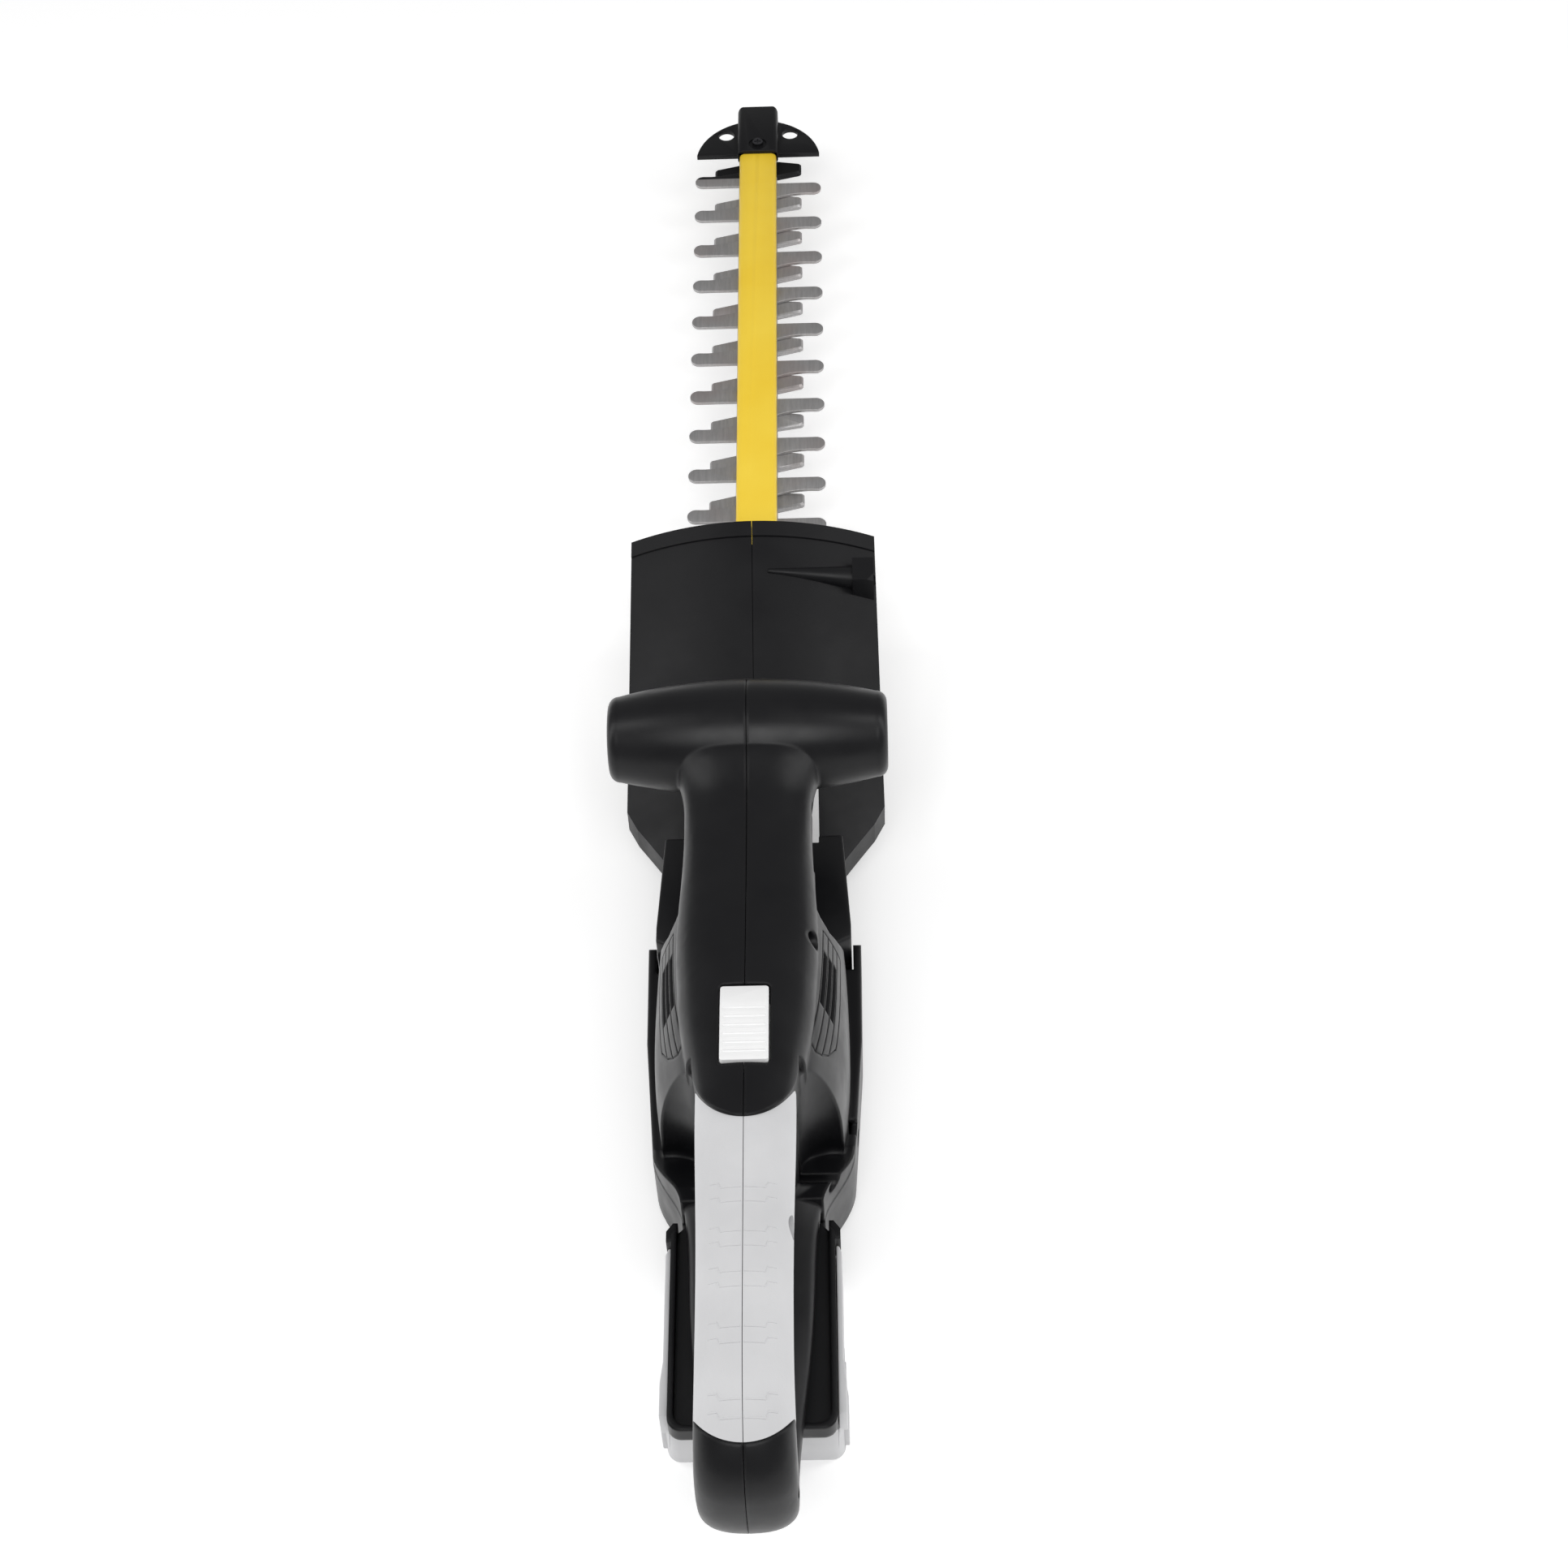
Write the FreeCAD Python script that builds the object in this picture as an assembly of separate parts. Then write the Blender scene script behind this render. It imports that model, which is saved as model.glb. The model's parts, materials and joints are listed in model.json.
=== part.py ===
import FreeCAD, Part
import math
import os

# Cordless hedge trimmer. Millimetres, +Y towards the blade tip, +X right, +Z up.
# The trimmer stands on z = 0, and the origin is below the middle of its length.

# Overall
TIP_Y = 460.0
WALL = 2.6
SEAM = 0.3
FAR = 300.0

# Blades: flat strips stacked under the bar, their heights counted from the comb's underside
COMB_Z = 41.1
COMB_THICK = 1.8
BLADE_THICK = 2.0
BLADE_GAP = 0.1
STRIP_THICK = 3.0
PITCH = 30.3
FINGERS = 13
FIRST_LEFT_Y = 402.0
STAGGER = 7.8
COMB_HALF = 37.0
CUTTER_HALF = 25.5
SPINE_HALF = 11.2
BLADE_FRONT_Y = 420.0
COMB_REAR_Y = -95.0
BAR_WIDTH = 21.7
BAR_HIGH = 6.0
BAR_FRONT_Y = 434.0
BAR_REAR_Y = -38.0
BAR_Z = COMB_Z + COMB_THICK
BAR_WALL = 1.8
BOLT_LAND = 7.0
UPPER_Z = COMB_Z - BLADE_GAP - BLADE_THICK
LOWER_Z = UPPER_Z - BLADE_GAP - BLADE_THICK
STRIP_Z = LOWER_Z - BLADE_GAP - STRIP_THICK
BOLT_R = 2.5
BOLT_YS = [388.0 - 84.0 * i for i in range(6)]

# Drive
CRANK_Y = -155.0
THROW = 6.5
ECCENTRIC_R = 10.5
CRANK_SHAFT_R = 3.5
YOKE_SLACK = 1.5
MODULE = 0.8
GEAR_TEETH = 56
PINION_TEETH = 14
PRESSURE = math.radians(25.0)
GEAR_Z = 46.0
GEAR_THICK = 7.0
MOTOR_Y = CRANK_Y - MODULE * (GEAR_TEETH + PINION_TEETH) / 2
MOTOR_R = 21.5
MOTOR_Z = 62.0
MOTOR_HIGH = 50.0
MOTOR_SHAFT_R = 2.0
RUNNING = 0.05

# Gear case: two clams parted at CASE_SPLIT_Z, with a narrow nose in front
CASE_TOP_Z = 58.0
CASE_SPLIT_Z = 36.0
CASE_BASE_Z = 3.0
CASE_FRONT_Y = -98.0
CASE_REAR_Y = -212.0
NOSE_FRONT_Y = -42.0
NOSE_HALF = 26.5
NOSE_TOP_Z = 48.6
WINDOW_X = 31.0
WINDOW_REAR_Y = -102.0

# Front handle
TBAR_Y = -87.0
TBAR_Z = 120.0
TBAR_HALF = 64.5
TBAR_END_R = 20.0
TBAR_MID_R = 27.0

# Guard: a crowned shield that slopes up and forwards over the blades
GUARD_FRONT_Y = 69.0
GUARD_FRONT_Z = 100.0
GUARD_SLOPE = 0.35
GUARD_CROWN = 14.0
GUARD_HALF = 62.0
GUARD_THICK = 3.0
GUARD_RIM = 14.0

# Motor housing and rear handle
SKIRT_TOP_Z = 44.0
SKIRT_BASE_Z = 7.0
SKIRT_FRONT_Y = -152.0
SCOOP_X = 36.5
SCOOP_Y = -282.0
SCOOP_R = 15.5
SHOULDER_X = 29.8
NOSE_END_HALF = 22.6
NOSE_END_DEEP = 35.0
NOSE_END_Y = -272.0
GRIP_END_HALF = 22.0
GRIP_END_DEEP = 23.0
GRIP_END_Y = -421.5
GRIP_SKIN = 2.5
POST_HALF = 20.5

# Battery
BATTERY_FRONT_Y = -306.0
BATTERY_REAR_Y = -393.0
BATTERY_HALF = 38.4
BATTERY_TRAY_Z = 29.0
BATTERY_TOP_Z = 41.3
BATTERY_CHEEK_Z = 43.0
BATTERY_WALL = 2.4
DOCK_HALF = 35.6
DOCK_Z = 42.0
CELL_R = 9.0
CELL_LONG = 65.0


def vec(x, y, z):
    return FreeCAD.Vector(x, y, z)


X_AXIS = vec(1, 0, 0)
Y_AXIS = vec(0, 1, 0)
Z_AXIS = vec(0, 0, 1)


def box(x0, x1, y0, y1, z0, z1):
    return Part.makeBox(x1 - x0, y1 - y0, z1 - z0, vec(x0, y0, z0))


def rod(radius, start, axis, length):
    return Part.makeCylinder(radius, length, start, axis)


def upright(radius, x, y, z0, z1):
    return Part.makeCylinder(radius, z1 - z0, vec(x, y, z0), Z_AXIS)


def tube(outer, inner, x, y, z0, z1):
    return upright(outer, x, y, z0, z1).cut(upright(inner, x, y, z0 - 1, z1 + 1))


def crossways(radius, x0, x1, y, z):
    """A rod along X."""
    return Part.makeCylinder(radius, x1 - x0, vec(x0, y, z), X_AXIS)


def face_of(points):
    return Part.Face(Part.makePolygon(points + points[:1]))


def prism(outline, z0, z1):
    """A solid with the plan outline (x, y), from z0 up to z1."""
    return face_of([vec(x, y, z0) for x, y in outline]).extrude(vec(0, 0, z1 - z0))


def side_prism(outline, x0, x1):
    """A solid with the side outline (y, z), from x0 to x1."""
    return face_of([vec(x0, y, z) for y, z in outline]).extrude(vec(x1 - x0, 0, 0))


def along(edge, axis):
    direction = edge.tangentAt(edge.FirstParameter)
    return len(edge.Vertexes) == 2 and abs(abs(direction.dot(axis)) - 1) < 1e-6


def rounded(solid, radius, axis):
    """The solid with its straight edges along the axis rounded."""
    return solid.makeFillet(radius, [e for e in solid.Edges if along(e, axis)])


def rounded_at(solid, radius, z):
    """The solid with every edge that lies at height z rounded."""
    edges = [e for e in solid.Edges if abs(e.BoundBox.ZMin - z) < 1e-6 and abs(e.BoundBox.ZMax - z) < 1e-6]
    return solid.makeFillet(radius, edges)


def fused(shapes):
    return shapes[0].multiFuse(shapes[1:])


def join(shapes):
    """Pieces fused into one solid, with faces that continue each other made one."""
    return fused(shapes).removeSplitter()


def cut_all(solid, tools):
    return solid.cut(Part.makeCompound(tools))


def mirrored(shape):
    return shape.mirror(vec(0, 0, 0), X_AXIS)


def both_sides(shape):
    return [shape, mirrored(shape)]


def right_half(shape):
    return shape.common(box(SEAM / 2, FAR, -2 * FAR, 2 * FAR, -FAR, FAR))


def turned(shape, centre, axis, degrees):
    copy = shape.copy()
    copy.rotate(centre, axis, degrees)
    return copy


def moved(shape, x, y, z):
    copy = shape.copy()
    copy.translate(vec(x, y, z))
    return copy


def write(node, *solids):
    """Writes one STEP per node; a node of several equal pieces is a group of solids."""
    shape = solids[0] if len(solids) == 1 else Part.makeCompound(list(solids))
    shape.exportStep(os.path.join("parts", node + ".step"))


def oval(centre, up, half_wide, half_deep, power=2.6, steps=20):
    """A closed superellipse across X and the direction up."""
    points = []
    for i in range(steps):
        angle = 2 * math.pi * (i + 0.5) / steps
        c, s = math.cos(angle), math.sin(angle)
        x = math.copysign(abs(c) ** (2 / power), c) * half_wide
        d = math.copysign(abs(s) ** (2 / power), s) * half_deep
        points.append(centre + X_AXIS * x + up * d)
    curve = Part.BSplineCurve()
    curve.interpolate(Points=points, PeriodicFlag=True)
    return Part.Wire([curve.toShape()])


def loft(sections):
    return Part.makeLoft(sections, True, False)


def coil(radius, wire, height, turns, start, axis=Z_AXIS):
    """A round wire spring that stands on start and points along the axis."""
    helix = Part.makeHelix(height / turns, height, radius)
    ring = Part.Wire([Part.makeCircle(wire, vec(radius, 0, 0), Y_AXIS)])
    spring = Part.Wire(helix.Edges).makePipeShell([ring], True, True)
    if axis != Z_AXIS:
        spring = turned(spring, vec(0, 0, 0), Z_AXIS.cross(axis), 90)
    return moved(spring, start.x, start.y, start.z)


# ---------------------------------------------------------------- front handle, neck and motor housing


def tbar(inset):
    """The barrel-shaped front handle, a revolved arc with rounded flat ends."""
    half = TBAR_HALF - inset
    end_r = TBAR_END_R - inset
    mid_r = TBAR_MID_R - inset
    corner = 5.0
    z = TBAR_Z
    top = Part.Arc(vec(half - corner, TBAR_Y, z + end_r), vec(0, TBAR_Y, z + mid_r),
                   vec(corner - half, TBAR_Y, z + end_r))
    tuck = corner * (1 - math.sqrt(0.5))
    right = Part.Arc(vec(half, TBAR_Y, z + end_r - corner), vec(half - tuck, TBAR_Y, z + end_r - tuck),
                     vec(half - corner, TBAR_Y, z + end_r))
    left = Part.Arc(vec(corner - half, TBAR_Y, z + end_r), vec(tuck - half, TBAR_Y, z + end_r - tuck),
                    vec(-half, TBAR_Y, z + end_r - corner))
    low_left = Part.LineSegment(vec(-half, TBAR_Y, z + end_r - corner), vec(-half, TBAR_Y, z))
    axis = Part.LineSegment(vec(-half, TBAR_Y, z), vec(half, TBAR_Y, z))
    low_right = Part.LineSegment(vec(half, TBAR_Y, z), vec(half, TBAR_Y, z + end_r - corner))
    wire = Part.Wire([c.toShape() for c in (top, left, low_left, axis, low_right, right)])
    return Part.Face(wire).revolve(vec(0, TBAR_Y, z), X_AXIS, 360)


# y, half width, underside, top
NECK = [
    (-80, 42.0, 104.0, 136.0),
    (-100, 37.5, 102.0, 138.0),
    (-111, 32.5, 100.0, 138.0),
    (-123, 29.6, 98.5, 134.5),
    (-140, 29.0, 97.5, 132.0),
    (-165, 29.6, 96.0, 132.0),
    (-190, 31.0, 94.0, 134.0),
    (-220, 31.0, 92.0, 137.0),
    (-250, 29.0, 94.0, 139.5),
    (-275, 25.0, 99.0, 141.5),
    (-292, 22.6, 104.0, 142.6),
    (-312, 22.2, 106.0, 143.2),
]


def neck(inset):
    sections = []
    for y, half, low, high in NECK:
        centre = vec(0, y, (low + high) / 2)
        sections.append(oval(centre, Z_AXIS, half - inset, (high - low) / 2 - inset, 2.8))
    return loft(sections)


def round_end(half_wide, half_deep, y, z):
    """A tall column with a superellipse plan about x = 0, y, from z up."""
    plan = Part.Face(oval(vec(0, y, z), Y_AXIS, half_wide, half_deep, 2.15))
    return plan.extrude(vec(0, 0, FAR))


def nose_region(gap):
    """Everything in front of the nose's round end, in plan."""
    end = round_end(NOSE_END_HALF + gap, NOSE_END_DEEP + gap, NOSE_END_Y, 0)
    return join([box(-FAR, FAR, NOSE_END_Y, FAR, 0, FAR), end])


# share of the half width, share of the height
TUB_PROFILE = [(1.0, 0.0), (1.0, 0.22), (0.965, 0.42), (0.88, 0.6), (0.765, 0.76), (0.625, 0.89), (0.4, 0.97),
               (0.0, 1.0)]
# y, half width, top
TUB = [(-156, 39.5, 124.0), (-172, 42.0, 129.0), (-205, 43.5, 133.5),
       (-235, 43.5, 134.5), (-262, 41.0, 132.0), (-284, 36.5, 126.0)]


def tub(inset):
    """The motor housing above the skirt."""
    base = SKIRT_TOP_Z - 0.5 - 1.5 * inset
    sections = []
    for y, half, top in TUB:
        right = [vec((half - inset) * x, y, base + (top - inset - base) * z) for x, z in TUB_PROFILE]
        left = [vec(-p.x, p.y, p.z) for p in reversed(right[:-1])]
        curve = Part.BSplineCurve()
        curve.interpolate(Points=right + left)
        floor = Part.LineSegment(left[-1], right[0])
        sections.append(Part.Wire([curve.toShape(), floor.toShape()]))
    solid = loft(sections)
    return solid.common(box(-FAR, FAR, TUB[-1][0] + inset, TUB[0][0] - inset, 0, FAR))


def skirt_side(inset):
    """The skirt's right half in plan, at z = 0."""
    half = 50.0 - inset
    front = SKIRT_FRONT_Y - inset
    bend = [vec(45.2 - inset, -266, 0), vec(43.2 - inset, -275, 0), vec(38.0 - inset, -285, 0),
            vec(33.4 - inset, -293, 0), vec(31.4 - inset, -300 + inset, 0)]
    curve = Part.BSplineCurve()
    curve.interpolate(Points=bend)
    ends = [vec(0, bend[-1].y, 0), vec(0, front, 0), vec(half, front, 0), vec(half - 0.6, -205, 0), bend[0]]
    lines = [Part.LineSegment(a, b).toShape() for a, b in zip(ends, ends[1:])]
    last = Part.LineSegment(bend[-1], ends[0]).toShape()
    return Part.Face(Part.Wire(lines + [curve.toShape(), last]))


def skirt(inset):
    """The wide ledge round the foot of the motor housing."""
    side = skirt_side(inset).extrude(vec(0, 0, SKIRT_TOP_Z - SKIRT_BASE_Z - 2 * inset))
    whole = join(both_sides(moved(side, 0, 0, SKIRT_BASE_Z + inset)))
    if inset:
        return whole
    return rounded_at(rounded_at(whole, 1.6, SKIRT_TOP_Z), 4.0, SKIRT_BASE_Z)


def deck():
    """The ramp that carries the skirt's top up to the rear handle's lower bar."""
    side = [(-258, 40), (-262, SKIRT_TOP_Z - 0.1), (-291, 60.5), (-302, 62.5), (-302, 40)]
    ramp = side_prism(side, 0, 60)
    return ramp.common(moved(skirt_side(0.3).extrude(vec(0, 0, FAR)), 0, 0, 40))


# y, z of the raked front edge of the motor housing's flanks
SHOULDER = [(-140, 57), (-166, 60), (-177, 74), (-183, 88), (-187, 102),
            (-185.5, 112), (-178, 122), (-165, 131), (-140, 140)]


def shoulders(grow):
    """What is taken off the motor housing's front corners, beside the neck."""
    outline = [(y - (grow if y < -140 else 0), z) for y, z in SHOULDER]
    return both_sides(side_prism(outline, SHOULDER_X - grow, 70))


def scoops(grow):
    """The two hollows beside the nose, where the fingers reach past the post."""
    low = SKIRT_TOP_Z + 2.5 - grow
    scoop = upright(SCOOP_R + grow, SCOOP_X, SCOOP_Y, low, FAR)
    return both_sides(rounded_at(scoop, 5.0, low))


def post(inset):
    """The rear handle's front post."""
    block = box(inset - POST_HALF, POST_HALF - inset, -300 + inset, -250, 30, 122)
    return rounded(block, 11.0 - inset, Z_AXIS)


# Rear handle: y, z and direction of the centre line's outward normal, half width, half depth
LOOP = [
    (-278, 124.0, 0, 21.0, 18.0),
    (-310, 124.3, 0, 21.0, 18.0),
    (-350, 124.5, 0, 20.0, 17.5),
    (-390, 124.0, 0, 19.6, 17.5),
    (-418, 121.5, 8, 19.8, 17.0),
    (-437, 113.5, 36, 20.3, 15.5),
    (-446, 99.5, 74, 20.6, 13.8),
    (-447.4, 84.0, 94, 20.5, 12.6),
    (-442.5, 69.0, 126, 20.0, 11.0),
    (-427, 59.0, 163, 19.8, 10.0),
    (-400, 55.6, 177, 22.0, 9.4),
    (-350, 55.0, 180, 26.5, 9.0),
    (-292, 55.0, 180, 31.0, 9.0),
]
LOOP_SPLIT = 6


def loop(inset):
    """The D-shaped rear handle: grip and tail in one sweep, tail and lower bar in the next."""
    sections = []
    for y, z, degrees, half_wide, half_deep in LOOP:
        angle = math.radians(degrees)
        up = vec(0, -math.sin(angle), math.cos(angle))
        sections.append(oval(vec(0, y, z), up, half_wide - inset, half_deep - inset, 2.5))
    return fused([loft(sections[:LOOP_SPLIT + 1]), loft(sections[LOOP_SPLIT:])])


def grip_region(gap):
    """The space that the soft grip skin takes, in plan between the nose and the tail."""
    front = box(-FAR, FAR, GRIP_END_Y, NOSE_END_Y, 90, FAR)
    end = round_end(GRIP_END_HALF + gap, GRIP_END_DEEP + gap, GRIP_END_Y, 90)
    return join([front, end.common(box(-FAR, FAR, -FAR * 2, FAR, 90, FAR))]).cut(nose_region(-gap))


def trigger_slot(grow):
    return box(-8 - grow, 8 + grow, -364 - grow, -300 + grow, 90, 116 + grow)


# y, z of the cross screws that hold the two halves together
HOUSING_SCREWS = [(-207.0, 124.4), (-128.0, 115.0), (-352.0, 129.0),
                  (-447.0, 92.0), (-288.0, 56.0), (-246.0, 24.0)]
SCREW_SEAT_X = 7.0
SCREW_HEAD_R = 3.8


def screw_bosses(hull):
    pegs = [crossways(5.4, -60, 60, y, z) for y, z in HOUSING_SCREWS]
    return [peg.common(hull) for peg in pegs]


def screw_holes(places, reach):
    tools = [crossways(2.0, -15, SCREW_SEAT_X + 1, y, z) for y, z in places]
    tools += [crossways(SCREW_HEAD_R + 0.6, SCREW_SEAT_X, reach, y, z) for y, z in places]
    return tools


def cross_screw(y, z):
    shank = crossways(1.9, -13, SCREW_SEAT_X, y, z)
    head = crossways(SCREW_HEAD_R, SCREW_SEAT_X, SCREW_SEAT_X + 2.8, y, z)
    socket = box(SCREW_SEAT_X + 1.2, SCREW_SEAT_X + 3, y - 2.4, y + 2.4, z - 0.45, z + 0.45)
    cross = box(SCREW_SEAT_X + 1.2, SCREW_SEAT_X + 3, y - 0.45, y + 0.45, z - 2.4, z + 2.4)
    return shank.fuse(head).cut(socket.fuse(cross))


# Cooling vents in each flank: engraved lines that climb to the rear, and open slots between the upper ones
VENT_FRONT_Y = -191.5
VENT_TOP_Z = 110.3
VENT_STEP = 5.7
VENT_CLIMB = 0.18
VENT_REAR_YS = [-257.0, -259.5, -257.5, -253.5, -246.0]
SLOT_FRONT_Y = -203.5
SLOT_REAR_Y = -234.5
SLOT_MARGIN = 0.9
GROOVE_WIDE = 0.8
GROOVE_DEEP = 0.7


def vent_z(line, y):
    """Height of the numbered vent line at y."""
    return VENT_TOP_Z - VENT_STEP * line + VENT_CLIMB * (VENT_FRONT_Y - y)


def stripe(y0, z0, y1, z1, wide):
    """A straight band across the flank, in side view from one point to the other."""
    run = math.hypot(y1 - y0, z1 - z0)
    dy, dz = (z1 - z0) / run * wide / 2, (y0 - y1) / run * wide / 2
    side = [(y0 + dy, z0 + dz), (y1 + dy, z1 + dz), (y1 - dy, z1 - dz), (y0 - dy, z0 - dz)]
    return side_prism(side, 20, 60)


def louvres():
    tools = []
    for line in range(3):
        middle = line + 0.5
        front, rear = SLOT_FRONT_Y + 0.4 * line, SLOT_REAR_Y - 0.6 * line
        wide = VENT_STEP - 2 * SLOT_MARGIN
        tools.append(stripe(front, vent_z(middle, front), rear, vent_z(middle, rear), wide))
    return tools


def grooves():
    last = len(VENT_REAR_YS) - 1
    ends = [(line, VENT_FRONT_Y, y) for line, y in enumerate(VENT_REAR_YS)]
    bands = [stripe(y0, vent_z(line, y0), y1, vent_z(line, y1), GROOVE_WIDE) for line, y0, y1 in ends]
    top, bottom = vent_z(0, VENT_FRONT_Y), vent_z(last, VENT_FRONT_Y)
    bands.append(stripe(VENT_FRONT_Y, top, VENT_FRONT_Y, bottom, GROOVE_WIDE))
    rear = [(y, vent_z(line, y)) for line, y in enumerate(VENT_REAR_YS)]
    bands += [stripe(*a, *b, GROOVE_WIDE) for a, b in zip(rear, rear[1:])]
    inside = Part.makeCompound([tub(GROOVE_DEEP), neck(GROOVE_DEEP)])
    return [band.cut(inside) for band in bands]


LOCK_FRONT_Y = -238.4
LOCK_REAR_Y = -280.6
LOCK_HALF = 10.9
LOCK_SPRING_Y = -245.0


def loop_skin(gap):
    """The layer of the rear handle that the soft grip takes, smaller at its ends by the gap."""
    return right_half(loop(0)).cut(loop(GRIP_SKIN)).common(grip_region(-gap))


def housing_hull():
    """The right half's outer form before it is hollowed."""
    skin = loop_skin(0)
    body = cut_all(tub(0), scoops(0) + shoulders(0) + [skin])
    spine = neck(0).common(nose_region(0))
    core = loop(0).cut(skin)
    return fused([right_half(s) for s in (tbar(0), spine, body, skirt(0), deck(), post(0).cut(skin), core)])


def hollowed(hull):
    """The right half with its inside taken out: the housing first, then the grip and the post."""
    room = cut_all(tub(WALL), scoops(WALL) + shoulders(WALL))
    spine = neck(WALL).common(nose_region(-WALL))
    main_room = fused([right_half(s) for s in (tbar(WALL + 0.6), spine, room, skirt(WALL))])
    for hollow in (main_room, right_half(loop(GRIP_SKIN + WALL)), right_half(post(WALL))):
        hull = hull.cut(hollow)
    return hull


def make_housing():
    hull = housing_hull()
    shell = hollowed(hull)
    spring_seat = box(SEAM / 2, 6, -236, -234.4, 127, 145).common(hull)
    solid = fused([shell, spring_seat] + screw_bosses(hull))
    case_mouth = [box(-46.2, 46.2, -166.6, -150, 0, 62.5), box(-30.4, 30.4, CASE_REAR_Y - 0.4, -150, 0, 12)]
    lock_recess = rounded(box(-LOCK_HALF, LOCK_HALF, LOCK_REAR_Y, LOCK_FRONT_Y, 134, 150), 2.0, Z_AXIS)
    motor_room = upright(MOTOR_R + 0.5, 0, MOTOR_Y, 58, 128)
    tools = case_mouth + [lock_recess, motor_room, trigger_slot(0)] + louvres() + grooves()
    plain = cut_all(solid, tools)
    belt_notch = box(42.5, 52, -256.3, -248.6, 40.6, 50)
    pilot_holes = [crossways(2.0, -1, 15, y, z) for y, z in HOUSING_SCREWS]
    left = mirrored(cut_all(plain, pilot_holes))
    right = cut_all(plain, screw_holes(HOUSING_SCREWS, 60) + [belt_notch])
    write("housing_left", left)
    write("housing_right", right)
    write("housing_screws", *[cross_screw(y, z) for y, z in HOUSING_SCREWS])


def make_grips():
    skin = loop_skin(0.05).cut(trigger_slot(0))
    y, z = HOUSING_SCREWS[2]
    write("grip_left", mirrored(skin))
    write("grip_right", skin.cut(crossways(SCREW_HEAD_R + 1.2, 2, 60, y, z)))


# ---------------------------------------------------------------- guard

# right half outline in plan: x, y
GUARD_OUTLINE = [(0, GUARD_FRONT_Y), (61.5, GUARD_FRONT_Y), (62.6, -20), (63.2, -66), (58, -76),
                 (42.4, -97.6), (WINDOW_X, -97.6), (WINDOW_X, -60), (0, -60)]


def guard_sheet(top, thick):
    """A crowned layer under the shield's top face, lowered by top."""
    reach = 70.0
    drop = GUARD_CROWN * (reach / GUARD_HALF) ** 2
    z = GUARD_FRONT_Z - top + GUARD_SLOPE
    y = GUARD_FRONT_Y + 1
    upper = Part.Arc(vec(-reach, y, z - drop), vec(0, y, z), vec(reach, y, z - drop))
    lower = Part.Arc(vec(reach, y, z - drop - thick), vec(0, y, z - thick), vec(-reach, y, z - drop - thick))
    right = Part.LineSegment(vec(reach, y, z - drop), vec(reach, y, z - drop - thick))
    left = Part.LineSegment(vec(-reach, y, z - drop - thick), vec(-reach, y, z - drop))
    wire = Part.Wire([c.toShape() for c in (upper, right, lower, left)])
    run = 180.0
    return Part.Face(wire).extrude(vec(0, -run, -run * GUARD_SLOPE))


def guard_plan(inset):
    """The shield's plan outline as a tall prism, its rim moved in by inset."""
    points = [(x - (inset if x > 50 else 0), y) for x, y in GUARD_OUTLINE]
    if inset:
        points[5] = (points[5][0] - inset, points[5][1])
    return prism(points, 0, 140)


def guard_shell():
    plan = guard_plan(0)
    rim_band = plan.cut(guard_plan(2.6)).common(box(0, FAR, -97, GUARD_FRONT_Y, 0, 140))
    lip_band = plan.common(box(0, FAR, GUARD_FRONT_Y - 7.5, GUARD_FRONT_Y + 1, 0, 140))
    sheet = guard_sheet(0, GUARD_THICK).common(plan)
    rim = guard_sheet(0, GUARD_RIM).common(rim_band)
    lip = guard_sheet(-1.2, GUARD_THICK + 3.0).common(lip_band)
    flange = box(WINDOW_X, 42.0, -97.6, -93.6, 25, 44)
    inner_rim = guard_sheet(0, GUARD_RIM).common(box(WINDOW_X, WINDOW_X + 2.6, -97.6, -60, 0, 140))
    stay = guard_sheet(0, 16.0).common(box(0, NOSE_HALF, -60, -56, NOSE_TOP_Z + 0.1, 140))
    return join([sheet, rim, lip, flange, inner_rim, stay])


def guard_lap():
    """The tongue of the one half that closes the seam from below, on the mirrored side."""
    own = guard_sheet(GUARD_THICK - 0.8, 2.0).common(box(SEAM / 2, 4, -55, 60, 0, 140))
    other = guard_sheet(GUARD_THICK + 0.2, 1.0).common(box(-4, 0.5, -55, 60, 0, 140))
    return join([own, other])


GUARD_BOSS_Y = 44.0
GUARD_BOSS_Z = 91.5
GUARD_SCREW_XS = (37.6,)
GUARD_SCREW_Z = 30.5


def make_guard():
    shell = right_half(guard_shell())
    above = guard_sheet(-14.0, 14.0 + GUARD_THICK - 0.5)
    boss = Part.makeCone(1.2, 6.2, 46.0, vec(8, GUARD_BOSS_Y, GUARD_BOSS_Z - 0.5), vec(1, 0, -0.16))
    pocket_block = box(50.0, 60.6, GUARD_BOSS_Y - 7.5, GUARD_BOSS_Y + 7.5, 74, 91)
    raised = join([boss, pocket_block]).common(above).common(guard_plan(0.6))
    pocket = box(53.0, 70, GUARD_BOSS_Y - 5.5, GUARD_BOSS_Y + 5.5, 78, 89)
    bolt_holes = [rod(2.1, vec(x, -99, GUARD_SCREW_Z), Y_AXIS, 12) for x in GUARD_SCREW_XS]
    left = mirrored(join([cut_all(shell, bolt_holes), guard_lap()]))
    right = cut_all(join([shell, raised]), bolt_holes + [pocket])
    write("guard_left", left)
    write("guard_right", right)
    bolts = []
    for x in GUARD_SCREW_XS:
        shank = rod(2.0, vec(x, -112, GUARD_SCREW_Z), Y_AXIS, 18.4)
        bolts.append(shank.fuse(rod(3.8, vec(x, -93.6, GUARD_SCREW_Z), Y_AXIS, 2.6)))
    write("guard_screws", *[s for bolt in bolts for s in both_sides(bolt)])


# ---------------------------------------------------------------- gear case


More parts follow.
